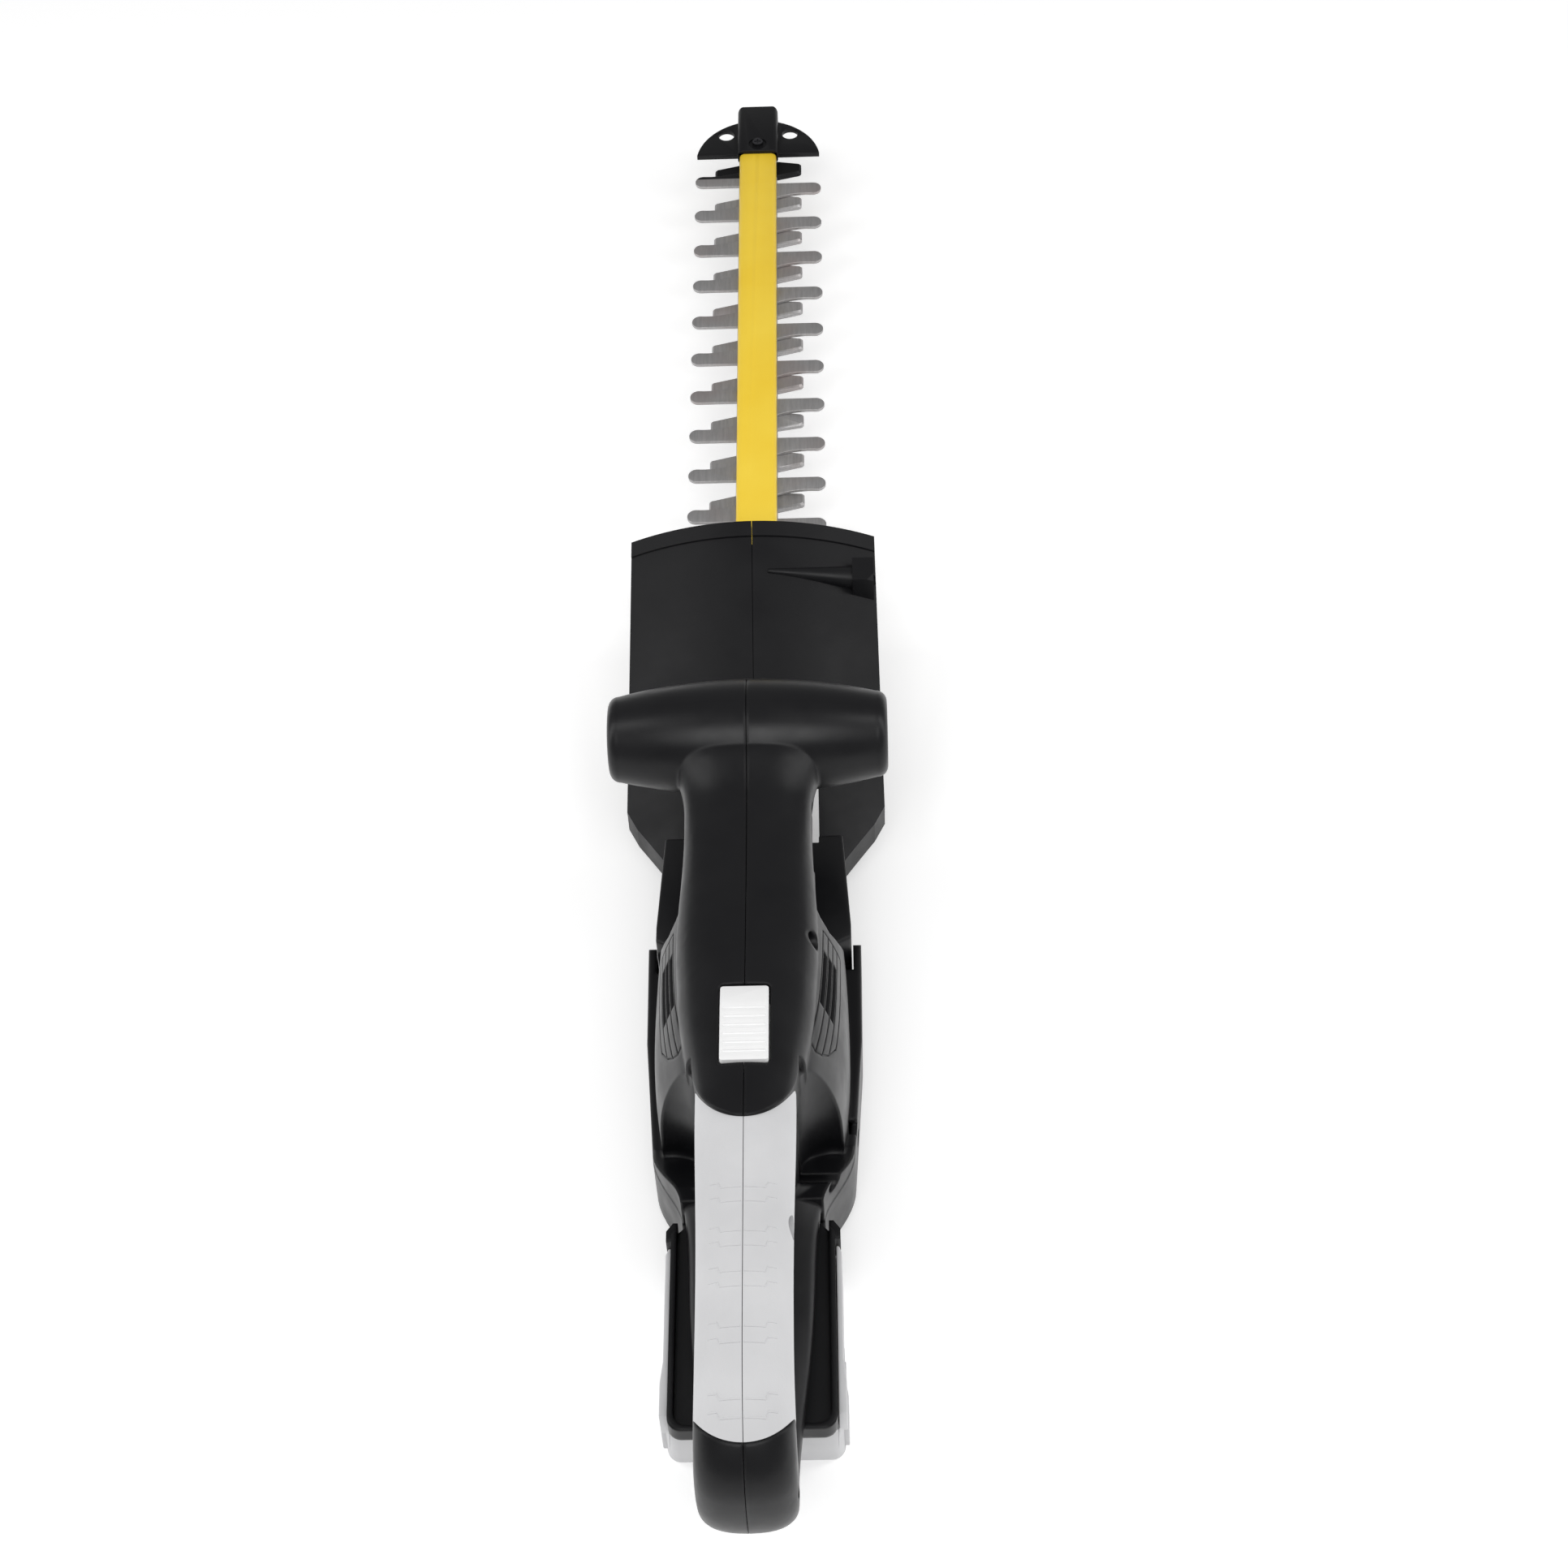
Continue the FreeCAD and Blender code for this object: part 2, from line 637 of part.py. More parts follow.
def case_plan(z0, z1):
    """The gear case's outline: narrow nose, wide shoulders, and a block inside the motor housing."""
    nose = box(-NOSE_HALF, NOSE_HALF, WINDOW_REAR_Y - 1, NOSE_FRONT_Y, z0, z1)
    flank = [(42.4, CASE_FRONT_Y), (45.5, -150), (45.5, -158), (30, -166), (30, CASE_REAR_Y)]
    left = [(-x, y) for x, y in reversed(flank)]
    body = prism(flank + left, z0, z1)
    windows = both_sides(box(NOSE_HALF, WINDOW_X, WINDOW_REAR_Y, -90, z0 - 1, z1 + 1))
    return cut_all(join([rounded(nose, 3.0, Z_AXIS), body]), windows)


CASE_SCREWS = [(20.0, -66.0), (36.0, -120.0), (24.0, -200.0)]
CUTTER_ROOM_HALF = 23.4


def case_room():
    """The space that the blades and the gears take inside the case."""
    return [
        box(-SPINE_HALF - 0.6, SPINE_HALF + 0.6, -140, NOSE_FRONT_Y + 1, STRIP_Z - 0.2, BAR_Z + 0.05),
        box(-CUTTER_ROOM_HALF, CUTTER_ROOM_HALF, CRANK_Y - 26, CRANK_Y + 26,
            CASE_SPLIT_Z - 0.6, GEAR_Z - 1.5),
        upright(24.0, 0, CRANK_Y, GEAR_Z - 2, GEAR_Z + GEAR_THICK + 1),
        upright(7.5, 0, MOTOR_Y, GEAR_Z - 1, CASE_TOP_Z + 1),
        upright(6.0, 0, CRANK_Y, 26, CASE_TOP_Z - 1),
    ]


def make_case():
    whole = case_plan(CASE_BASE_Z, CASE_TOP_Z)
    nose_step = box(-NOSE_HALF - 1, NOSE_HALF + 1, CASE_FRONT_Y + 1, NOSE_FRONT_Y + 1,
                    NOSE_TOP_Z, CASE_TOP_Z + 1)
    whole = whole.cut(nose_step)
    hollow = cut_all(whole, case_room())
    upper = hollow.common(box(-FAR, FAR, -FAR, FAR, CASE_SPLIT_Z, FAR))
    lower = hollow.common(box(-FAR, FAR, -FAR, FAR, 0, CASE_SPLIT_Z))
    pockets = both_sides(box(31.5, 41, -150, -128, 6, 33)) + [box(-14, 14, -96, -58, 6, 26)]
    holes = [s for x, y in CASE_SCREWS for s in both_sides(upright(2.0, x, y, 0, 50))]
    heads = [s for x, y in CASE_SCREWS for s in both_sides(upright(4.2, x, y, 0, 12))]
    guard_holes = []
    for x in GUARD_SCREW_XS:
        guard_holes += both_sides(rod(2.05, vec(x, -113, GUARD_SCREW_Z), Y_AXIS, 20))
    side_hole = crossways(2.6, 38, 60, -106, 46)
    write("gear_housing", cut_all(upper, holes + guard_holes + [side_hole]))
    write("gear_cover", cut_all(lower, holes + heads + guard_holes + pockets))
    screw = upright(1.9, 0, 0, 12, 49).fuse(upright(3.8, 0, 0, 9, 12))
    write("gear_case_screws", *[s for x, y in CASE_SCREWS for s in both_sides(moved(screw, x, y, 0))])
    foot = tube(7.0, 2.0, 0, -52, 0, CASE_BASE_Z)
    write("rubber_feet", *[moved(foot, x, 0, 0) for x in (-17, 17)])


# ---------------------------------------------------------------- drive


def involute(base_r, radius):
    """The involute's turn, in radians, where it reaches the radius."""
    grow = math.sqrt(max((radius / base_r) ** 2 - 1, 0))
    return grow - math.atan(grow)


def gear_face(teeth, backlash):
    """A stub-tooth spur gear's outline about the origin, with a tooth centred on +Y."""
    pitch_r = MODULE * teeth / 2
    base_r = pitch_r * math.cos(PRESSURE)
    tip_r = pitch_r + 0.8 * MODULE
    root_r = pitch_r - 1.05 * MODULE
    half_tooth = math.pi / (2 * teeth) - backlash / (2 * pitch_r) + involute(base_r, pitch_r)
    start_r = max(base_r, root_r)
    flank = [start_r + (tip_r - start_r) * i / 4 for i in range(5)]
    points = []
    for tooth in range(teeth):
        middle = 2 * math.pi * tooth / teeth + math.pi / 2
        side = [(root_r, half_tooth - involute(base_r, start_r))]
        side += [(r, half_tooth - involute(base_r, r)) for r in flank]
        for r, a in side:
            points.append(vec(r * math.cos(middle - a), r * math.sin(middle - a), 0))
        for r, a in reversed(side):
            points.append(vec(r * math.cos(middle + a), r * math.sin(middle + a), 0))
    return face_of(points)


def make_crank():
    gear = gear_face(GEAR_TEETH, 0.12).extrude(vec(0, 0, GEAR_THICK))
    gear = moved(gear, 0, CRANK_Y, GEAR_Z).cut(upright(CRANK_SHAFT_R, 0, CRANK_Y, 0, 90))
    lightening = upright(3.2, 13.5, CRANK_Y, 0, 90)
    holes = [turned(lightening, vec(0, CRANK_Y, 0), Z_AXIS, 60 * i + 30) for i in range(6)]
    write("crank_gear", cut_all(gear, holes))
    write("crank_shaft", upright(CRANK_SHAFT_R, 0, CRANK_Y, 27, 56.5))
    for node, side, z in (("upper_eccentric", 1, UPPER_Z), ("lower_eccentric", -1, LOWER_Z)):
        disc = upright(ECCENTRIC_R, side * THROW, CRANK_Y, z + 0.1, z + BLADE_THICK - 0.1)
        write(node, disc.cut(upright(CRANK_SHAFT_R, 0, CRANK_Y, 0, 90)))
    bush_r = CRANK_SHAFT_R + RUNNING
    write("crank_bushes", tube(6.0, bush_r, 0, CRANK_Y, 26, 33), tube(6.0, bush_r, 0, CRANK_Y, 54.2, 57))


def make_rotor():
    top_z = MOTOR_Z + MOTOR_HIGH
    shaft = upright(MOTOR_SHAFT_R, 0, MOTOR_Y, GEAR_Z - 0.5, top_z + 15)
    write("motor_shaft", shaft)
    hole = upright(MOTOR_SHAFT_R, 0, 0, -1, 90)
    pinion = turned(gear_face(PINION_TEETH, 0.12), vec(0, 0, 0), Z_AXIS, 180 / PINION_TEETH + 180)
    write("pinion", moved(pinion.extrude(vec(0, 0, 10)).cut(hole), 0, MOTOR_Y, GEAR_Z - 0.5))
    pole = box(-4.6, 4.6, 0, 12.2, 0, 30)
    shoe = upright(15.6, 0, 0, 0, 30).cut(upright(12.0, 0, 0, -1, 31)).common(box(-7.6, 7.6, 8, 16, 0, 30))
    poles = [turned(s, vec(0, 0, 0), Z_AXIS, 72 * i) for i in range(5) for s in (pole, shoe)]
    stack = join([upright(6.0, 0, 0, 0, 30)] + poles).cut(hole)
    write("armature", moved(stack, 0, MOTOR_Y, MOTOR_Z + 9))
    winding = rounded(box(-5.5, 5.5, 7.8, 10.6, -1.6, 31.6), 0.7, Y_AXIS)
    winding = winding.cut(box(-4.7, 4.7, 0, 16, -0.1, 30.1))
    windings = [turned(winding, vec(0, 0, 0), Z_AXIS, 72 * i) for i in range(5)]
    write("windings", *[moved(w, 0, MOTOR_Y, MOTOR_Z + 9) for w in windings])
    write("commutator", tube(4.6, MOTOR_SHAFT_R, 0, MOTOR_Y, MOTOR_Z + 42.5, MOTOR_Z + 48.5))
    hub = tube(5.0, MOTOR_SHAFT_R, 0, MOTOR_Y, top_z + 6.5, top_z + 13)
    plate = tube(15.5, MOTOR_SHAFT_R, 0, MOTOR_Y, top_z + 6.5, top_z + 7.7)
    blade = turned(box(4.6, 15.5, -0.6, 0.6, 0, 6.5), vec(4.6, 0, 0), Z_AXIS, 18)
    blades = [moved(turned(blade, vec(0, 0, 0), Z_AXIS, 40 * i), 0, MOTOR_Y, top_z + 6.5) for i in range(9)]
    write("cooling_fan", join([hub, plate] + blades))


def make_motor():
    top_z = MOTOR_Z + MOTOR_HIGH
    bearing_r = 5.0
    inside = upright(MOTOR_R - 1.6, 0, MOTOR_Y, MOTOR_Z + 1.6, top_z + 1)
    can = upright(MOTOR_R, 0, MOTOR_Y, MOTOR_Z, top_z).cut(inside)
    collar = upright(7.0, 0, MOTOR_Y, CASE_TOP_Z, MOTOR_Z)
    bore = upright(bearing_r, 0, MOTOR_Y, CASE_TOP_Z - 1, MOTOR_Z + 2)
    write("motor_can", join([can, collar]).cut(bore))
    boss = upright(7.0, 0, MOTOR_Y, top_z + 3, top_z + 5.5)
    cap = upright(MOTOR_R, 0, MOTOR_Y, top_z, top_z + 3).fuse(boss)
    write("motor_end_cap", cap.removeSplitter().cut(upright(bearing_r, 0, MOTOR_Y, top_z - 1, top_z + 6)))
    ring = tube(MOTOR_R - 1.6, 16.4, 0, MOTOR_Y, MOTOR_Z + 7, MOTOR_Z + 40)
    gaps = box(-6, 6, MOTOR_Y - 30, MOTOR_Y + 30, 0, 200)
    write("magnets", *ring.cut(gaps).Solids)
    brush = box(4.9, 13.0, MOTOR_Y - 2.5, MOTOR_Y + 2.5, MOTOR_Z + 43, MOTOR_Z + 48)
    brush = brush.cut(upright(4.9, 0, MOTOR_Y, 0, 200))
    write("brushes", brush, mirrored(brush))
    holder = box(7.0, 16.0, MOTOR_Y - 4.5, MOTOR_Y + 4.5, MOTOR_Z + 41.5, top_z)
    holder = holder.cut(box(6.0, 17.0, MOTOR_Y - 2.5, MOTOR_Y + 2.5, MOTOR_Z + 43, MOTOR_Z + 48))
    write("brush_holders", holder, mirrored(holder))
    inner_r = MOTOR_SHAFT_R + RUNNING
    write("motor_bearings", tube(bearing_r, inner_r, 0, MOTOR_Y, CASE_TOP_Z + 0.5, MOTOR_Z + 1.6),
          tube(bearing_r, inner_r, 0, MOTOR_Y, top_z + 1, top_z + 5.5))


# ---------------------------------------------------------------- blades


def finger_outline(side, y):
    """One long blunt finger in plan: round tip, and one edge that slopes out to the root."""
    lean = -side
    tip_r = 4.7
    tip_x = side * (COMB_HALF - tip_r)
    root_x = side * (SPINE_HALF - 2)
    far, near = y - lean * tip_r, y + lean * tip_r
    root_near = y + lean * 8.4
    mid = vec(side * (SPINE_HALF + 5), y + lean * 6.0, 0)
    nose = Part.Arc(vec(tip_x, near, 0), vec(side * COMB_HALF, y, 0), vec(tip_x, far, 0))
    curve = Part.BSplineCurve()
    curve.interpolate(Points=[vec(root_x, root_near, 0), mid, vec(tip_x, near, 0)])
    back = Part.LineSegment(vec(tip_x, far, 0), vec(root_x, far, 0))
    root = Part.LineSegment(vec(root_x, far, 0), vec(root_x, root_near, 0))
    return Part.Wire([c.toShape() for c in (curve, nose, back, root)])


def tooth_outline(side, y):
    """One short cutting tooth in plan, at the far side of a left finger or the near side of a right one."""
    lean = -side
    root_x = side * (SPINE_HALF - 2)
    corner = 2.2
    tip = side * CUTTER_HALF
    inner, outer = y + lean * 3.6, y + lean * 16.4
    tip_in, tip_out = y + lean * 5.0, y + lean * 13.8
    tuck = corner * (1 - math.sqrt(0.5))
    points = [vec(root_x, inner, 0), vec(tip - side * corner, tip_in, 0)]
    first = Part.Arc(points[1], vec(tip - side * tuck, tip_in + lean * tuck, 0),
                     vec(tip, tip_in + lean * corner, 0))
    second = Part.Arc(vec(tip, tip_out - lean * corner, 0), vec(tip - side * tuck, tip_out - lean * tuck, 0),
                      vec(tip - side * corner, tip_out, 0))
    edges = [
        Part.LineSegment(points[0], points[1]),
        first,
        Part.LineSegment(vec(tip, tip_in + lean * corner, 0), vec(tip, tip_out - lean * corner, 0)),
        second,
        Part.LineSegment(vec(tip - side * corner, tip_out, 0), vec(root_x, outer, 0)),
        Part.LineSegment(vec(root_x, outer, 0), points[0]),
    ]
    return Part.Wire([e.toShape() for e in edges])


def finger_rows():
    """Side and y of every finger; the right row stands a little behind the left one."""
    rows = [(-1, FIRST_LEFT_Y - PITCH * i) for i in range(FINGERS)]
    return rows + [(1, FIRST_LEFT_Y - STAGGER - PITCH * i) for i in range(FINGERS)]


def make_comb():
    spine = box(-SPINE_HALF, SPINE_HALF, COMB_REAR_Y, BLADE_FRONT_Y, COMB_Z, COMB_Z + COMB_THICK)
    fingers = [Part.Face(finger_outline(side, y)).extrude(vec(0, 0, COMB_THICK)) for side, y in finger_rows()]
    plate = join([spine] + [moved(f, 0, 0, COMB_Z) for f in fingers])
    holes = [upright(BOLT_R, 0, y, 0, 90) for y in BOLT_YS]
    write("top_comb", cut_all(plate, holes))


def cutter(z):
    """A reciprocating cutter: spine, short teeth, bolt slots and the yoke round its eccentric."""
    spine = box(-SPINE_HALF, SPINE_HALF, CRANK_Y, BLADE_FRONT_Y + 1, z, z + BLADE_THICK)
    teeth = []
    for side, y in finger_rows() + [(1, FIRST_LEFT_Y - STAGGER + PITCH)]:
        outline = tooth_outline(side, y)
        teeth.append(moved(Part.Face(outline).extrude(vec(0, 0, BLADE_THICK)), 0, 0, z))
    slot_x = ECCENTRIC_R + THROW + 0.5
    slot_y = ECCENTRIC_R + YOKE_SLACK
    yoke = box(-slot_x - 5, slot_x + 5, CRANK_Y - slot_y - 5, CRANK_Y + slot_y + 5, z, z + BLADE_THICK)
    solid = join([spine, rounded(yoke, 4.0, Z_AXIS)] + teeth)
    window = rounded(box(-slot_x, slot_x, CRANK_Y - slot_y, CRANK_Y + slot_y, 0, 90), 1.0, Z_AXIS)
    slots = [window]
    reach = THROW + 0.5
    for y in BOLT_YS:
        slots.append(box(-BOLT_R - 0.3, BOLT_R + 0.3, y - reach, y + reach, 0, 90))
        slots += [upright(BOLT_R + 0.3, 0, y + end * reach, 0, 90) for end in (-1, 1)]
    return cut_all(solid, slots)


def make_blades():
    make_comb()
    write("upper_cutter", cutter(UPPER_Z))
    write("lower_cutter", cutter(LOWER_Z))
    half = BAR_WIDTH / 2
    bar = box(-half, half, BAR_REAR_Y, BAR_FRONT_Y, BAR_Z, BAR_Z + BAR_HIGH)
    top = [e for e in bar.Edges if along(e, Y_AXIS) and e.BoundBox.ZMin > BAR_Z + 1]
    bar = bar.makeFillet(3.2, top)
    room = half - BAR_WALL
    spans = [(rear + BOLT_LAND, front - BOLT_LAND) for front, rear in zip([428.0] + BOLT_YS, BOLT_YS)]
    channels = [box(-room, room, y0, y1, BAR_Z - 1, BAR_Z + BAR_HIGH - BAR_WALL) for y0, y1 in spans]
    sockets = [upright(BOLT_R, 0, y, BAR_Z - 1, BAR_Z + 3.5) for y in BOLT_YS]
    tip_hole = upright(1.6, 0, 427, BAR_Z - 1, BAR_Z + BAR_HIGH + 1)
    write("blade_bar", cut_all(bar, sockets + channels + [tip_hole]))
    strip = box(-8, 8, NOSE_FRONT_Y + 2, 412, STRIP_Z, STRIP_Z + STRIP_THICK)
    bolt_holes = [upright(BOLT_R, 0, y, 0, 90) for y in BOLT_YS]
    write("lower_strip", cut_all(rounded(strip, 6.0, Z_AXIS), bolt_holes))
    bolt = upright(BOLT_R, 0, 0, STRIP_Z - 5.5, BAR_Z + 3.5)
    write("blade_bolts", *[moved(bolt, 0, y, 0) for y in BOLT_YS])
    washer = tube(5.2, BOLT_R, 0, 0, STRIP_Z - 1, STRIP_Z)
    write("blade_washers", *[moved(washer, 0, y, 0) for y in BOLT_YS])
    corners = [(4.6 * math.cos(math.radians(60 * i)), 4.6 * math.sin(math.radians(60 * i))) for i in range(6)]
    nut = prism(corners, STRIP_Z - 4.6, STRIP_Z - 1).cut(upright(BOLT_R, 0, 0, 0, 90))
    write("blade_nuts", *[moved(nut, 0, y, 0) for y in BOLT_YS])


def make_tip():
    """The black end cap with its half-moon plate, and the screw that holds it."""
    corner = vec(36.4, 424, 0)
    arc = Part.Arc(corner, vec(0, 455.5, 0), mirrored(Part.Vertex(corner)).Point)
    chord = Part.LineSegment(vec(-36.4, 424, 0), corner)
    moon = Part.Face(Part.Wire([arc.toShape(), chord.toShape()])).extrude(vec(0, 0, 3.2))
    moon = moved(moon, 0, 0, BAR_Z - 1.7)
    cap = rounded(box(-11.9, 11.9, 419, TIP_Y, BAR_Z - 1.7, BAR_Z + BAR_HIGH + 2.4), 3.0, Y_AXIS)
    cap = cap.common(rounded(box(-11.9, 11.9, 400, TIP_Y, 0, 90), 3.5, Z_AXIS))
    toe = rounded(box(-11.9, 11.9, 438, TIP_Y, 34.5, BAR_Z), 3.5, Z_AXIS)
    bar_room = box(-BAR_WIDTH / 2, BAR_WIDTH / 2, 400, BAR_FRONT_Y, 0, BAR_Z + BAR_HIGH)
    holes = both_sides(upright(4.7, 19.0, 442.4, 0, 90))
    dish = upright(5.2, 0, 425.5, BAR_Z + BAR_HIGH + 1.2, 90)
    screw_hole = upright(1.6, 0, 427, 0, 90)
    write("tip_guard", cut_all(join([moon, cap, toe]), holes + [bar_room, dish, screw_hole]))
    head = upright(3.0, 0, 427, BAR_Z + BAR_HIGH + 1.2, BAR_Z + BAR_HIGH + 2.8)
    slot = box(-2.0, 2.0, 426.6, 427.4, BAR_Z + BAR_HIGH + 2.0, 90)
    slot = slot.fuse(turned(slot, vec(0, 427, 0), Z_AXIS, 90))
    write("tip_screw", upright(1.55, 0, 427, BAR_Z + 1, BAR_Z + BAR_HIGH + 1.2).fuse(head).cut(slot))


# ---------------------------------------------------------------- controls


def make_lock():
    """The sliding lock-off button: a ribbed block with a sloped front, and a flange under the skin."""
    half = LOCK_HALF - 0.6
    rear = LOCK_REAR_Y + 0.6
    front = LOCK_FRONT_Y - 2.6
    side = [(rear, 133), (rear, 143.4), (-249.5, 142.8), (front, 140.6), (front, 133)]
    block = rounded(side_prism(side, -half, half), 1.4, Z_AXIS)
    rib_ys = [rear + 4 + 4.4 * i for i in range(6)]
    ribs = [box(-half + 1.2, half - 1.2, y, y + 1.2, 142.3, 150) for y in rib_ys]
    flange = box(-12.5, 12.5, -276, LOCK_SPRING_Y - 0.8, 129.5, 133.2)
    write("lock_off_slide", join([cut_all(block, ribs), flange]))
    write("lock_off_spring", coil(2.2, 0.35, 8.2, 5, vec(0, LOCK_SPRING_Y, 130.2), Y_AXIS))


def trigger_outline():
    """The trigger's side outline: y, z."""
    curve = Part.BSplineCurve()
    under = [vec(0, -303.5, 104), vec(0, -309, 98.5), vec(0, -325, 96.5), vec(0, -345, 95), vec(0, -357, 98),
             vec(0, -360.5, 106.8)]
    curve.interpolate(Points=under)
    top = [under[-1], vec(0, -348, 107.4), vec(0, -314, 108.5), vec(0, -309, 114), vec(0, -303.5, 112),
           under[0]]
    edges = [curve.toShape()] + [Part.LineSegment(a, b).toShape() for a, b in zip(top, top[1:])]
    return Part.Wire(edges)


TRIGGER_PIN_Y = -306.5
TRIGGER_PIN_Z = 109.5


def make_trigger():
    solid = moved(Part.Face(trigger_outline()).extrude(vec(14.4, 0, 0)), -7.2, 0, 0)
    bore = crossways(1.5 + RUNNING, -20, 20, TRIGGER_PIN_Y, TRIGGER_PIN_Z)
    write("trigger", solid.cut(bore))
    write("trigger_pin", crossways(1.5, -8, 8, TRIGGER_PIN_Y, TRIGGER_PIN_Z))
    write("trigger_spring", coil(2.8, 0.45, 10.2, 5, vec(0, -338, 108.4)))
    body = rounded(box(-7.5, 7.5, -345.5, -317, 119.2, 134), 1.5, X_AXIS)
    tabs = [box(-2.4, 2.4, -317, -311, z, z + 0.9) for z in (122, 130)]
    write("switch_module", join([body] + tabs))
    board = box(-17, 17, -262, -260.4, 50, 100)
    chips = [box(x - 4, x + 4, -260.4, -258.6, z - 4, z + 4) for x, z in ((-9, 62), (8, 74), (-8, 88))]
    drum = rod(4.0, vec(8, -260.4, 92), Y_AXIS, 9)
    write("control_board", join([board, drum] + chips))


# ---------------------------------------------------------------- battery and its dock


def dock_plan(half, front, rear, z0, z1):
    chamfer = 7.0
    outline = [(-half + chamfer, front), (half - chamfer, front), (half, front - chamfer), (half, rear),
               (-half, rear), (-half, front - chamfer)]
    solid = prism(outline, z0, z1)
    edges = [e for e in solid.Edges if along(e, Z_AXIS) and e.BoundBox.YMax < rear + 0.1]
    return solid.makeFillet(6.0, edges)


def make_dock():
    tray = dock_plan(DOCK_HALF, -302, -402, DOCK_Z, 51)
    inner = dock_plan(DOCK_HALF - 2.4, -296, -399.6, DOCK_Z + 4, 60)
    bar = loop(-0.05)
    rail = box(29.4, 33.4, -396, -304, 32, DOCK_Z)
    lip = box(25.6, 29.4, -396, -304, 32, 35.6)
    rails = both_sides(rail.fuse(lip).removeSplitter())
    horn = prism([(33.0, -302.5), (35.0, -302.5), (38.0, -306.5), (38.0, -311.5), (33.0, -311.5)], 33, 48.5)
    write("battery_dock", join([tray.cut(inner).cut(bar)] + rails + both_sides(horn)))
    contacts = [box(x - 0.4, x + 0.4, -318, -304, 34, DOCK_Z - 0.6) for x in (-14, -5, 5, 14)]
    write("tool_contacts", *contacts)


def battery_plan(inset, z0, z1):
    half = BATTERY_HALF - inset
    block = box(-half, half, BATTERY_REAR_Y + inset, BATTERY_FRONT_Y - inset, z0, z1)
    return rounded(block, 6.0 - inset, Z_AXIS)


LATCH_FRONT_Y = -352.0
LATCH_REAR_Y = -388.5


def make_battery():
    inside = battery_plan(BATTERY_WALL, BATTERY_WALL, 60)
    tray = rounded_at(battery_plan(0, 0, BATTERY_TRAY_Z), 2.5, 0).cut(inside)
    inner_x = BATTERY_HALF - BATTERY_WALL
    cheek_plan = [(inner_x, -312), (37.2, -312), (BATTERY_HALF, -315), (BATTERY_HALF, -366),
                  (39.6, -376), (39.6, -391.5), (inner_x, -391.5)]
    cheek = prism(cheek_plan, BATTERY_TRAY_Z - 2, BATTERY_CHEEK_Z)
    pocket = box(31.0, 45, LATCH_REAR_Y - 0.3, LATCH_FRONT_Y + 0.3, 5.7, 26.3)
    lining = box(29.6, 37, LATCH_REAR_Y - 1.8, LATCH_FRONT_Y + 1.8, 2.4, 27.6)
    tray = join([tray] + both_sides(lining) + both_sides(cheek))
    dimple = crossways(3.0, BATTERY_HALF - 1.2, 60, -376, 20)
    write("battery_bottom_shell", cut_all(tray, both_sides(pocket)))
    plate = battery_plan(BATTERY_WALL + 0.3, BATTERY_TRAY_Z - 1.2, 31.6)
    block = box(-25.2, 25.2, -392, -304.5, 31.6, BATTERY_TOP_Z)
    flange = box(-29.0, 29.0, -392, -304.5, 36.0, BATTERY_TOP_Z)
    hollow = box(-22, 22, -384, -324, 20, 38)
    slots = [box(x - 1.2, x + 1.2, -322, -300, 33, BATTERY_TOP_Z + 1) for x in (-14, -5, 5, 14)]
    write("battery_top_shell", cut_all(join([plate, block, flange]), slots + [hollow]))
    ys = [-349.5 + 18.8 * (i - 1.5) for i in range(4)]
    cells = [crossways(CELL_R, -CELL_LONG / 2 + 3.5, CELL_LONG / 2 - 3.5, y, 12) for y in ys]
    write("battery_cells", *cells)
    reach = CELL_LONG / 2 - 3.5
    strap = box(reach, reach + 0.4, ys[0] - 4, ys[1] + 4, 8, 16)
    straps = [strap, moved(strap, 0, 2 * 18.8, 0), moved(mirrored(strap), 0, 18.8, 0)]
    write("cell_straps", *straps)
    latch_plan = [(34.5, LATCH_FRONT_Y), (38.7, LATCH_FRONT_Y), (38.9, -366), (40.1, -375),
                  (40.1, LATCH_REAR_Y), (34.5, LATCH_REAR_Y)]
    latch = prism(latch_plan, 6, 26)
    write("battery_latch_right", latch.cut(dimple))
    write("battery_latch_left", mirrored(latch))
    spring = coil(3.0, 0.4, 2.4, 3, vec(31.55, -370, 16), X_AXIS)
    write("latch_spring_right", spring)
    write("latch_spring_left", mirrored(spring))


def main():
    os.makedirs("parts", exist_ok=True)
    make_housing()
    make_grips()
    make_guard()
    make_case()
    make_crank()
    make_rotor()
    make_motor()
    make_blades()
    make_tip()
    make_lock()
    make_trigger()
    make_dock()
    make_battery()


main()
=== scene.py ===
import bmesh
import bpy
import json
import math
from mathutils import Matrix, Vector
from mathutils.bvhtree import BVHTree


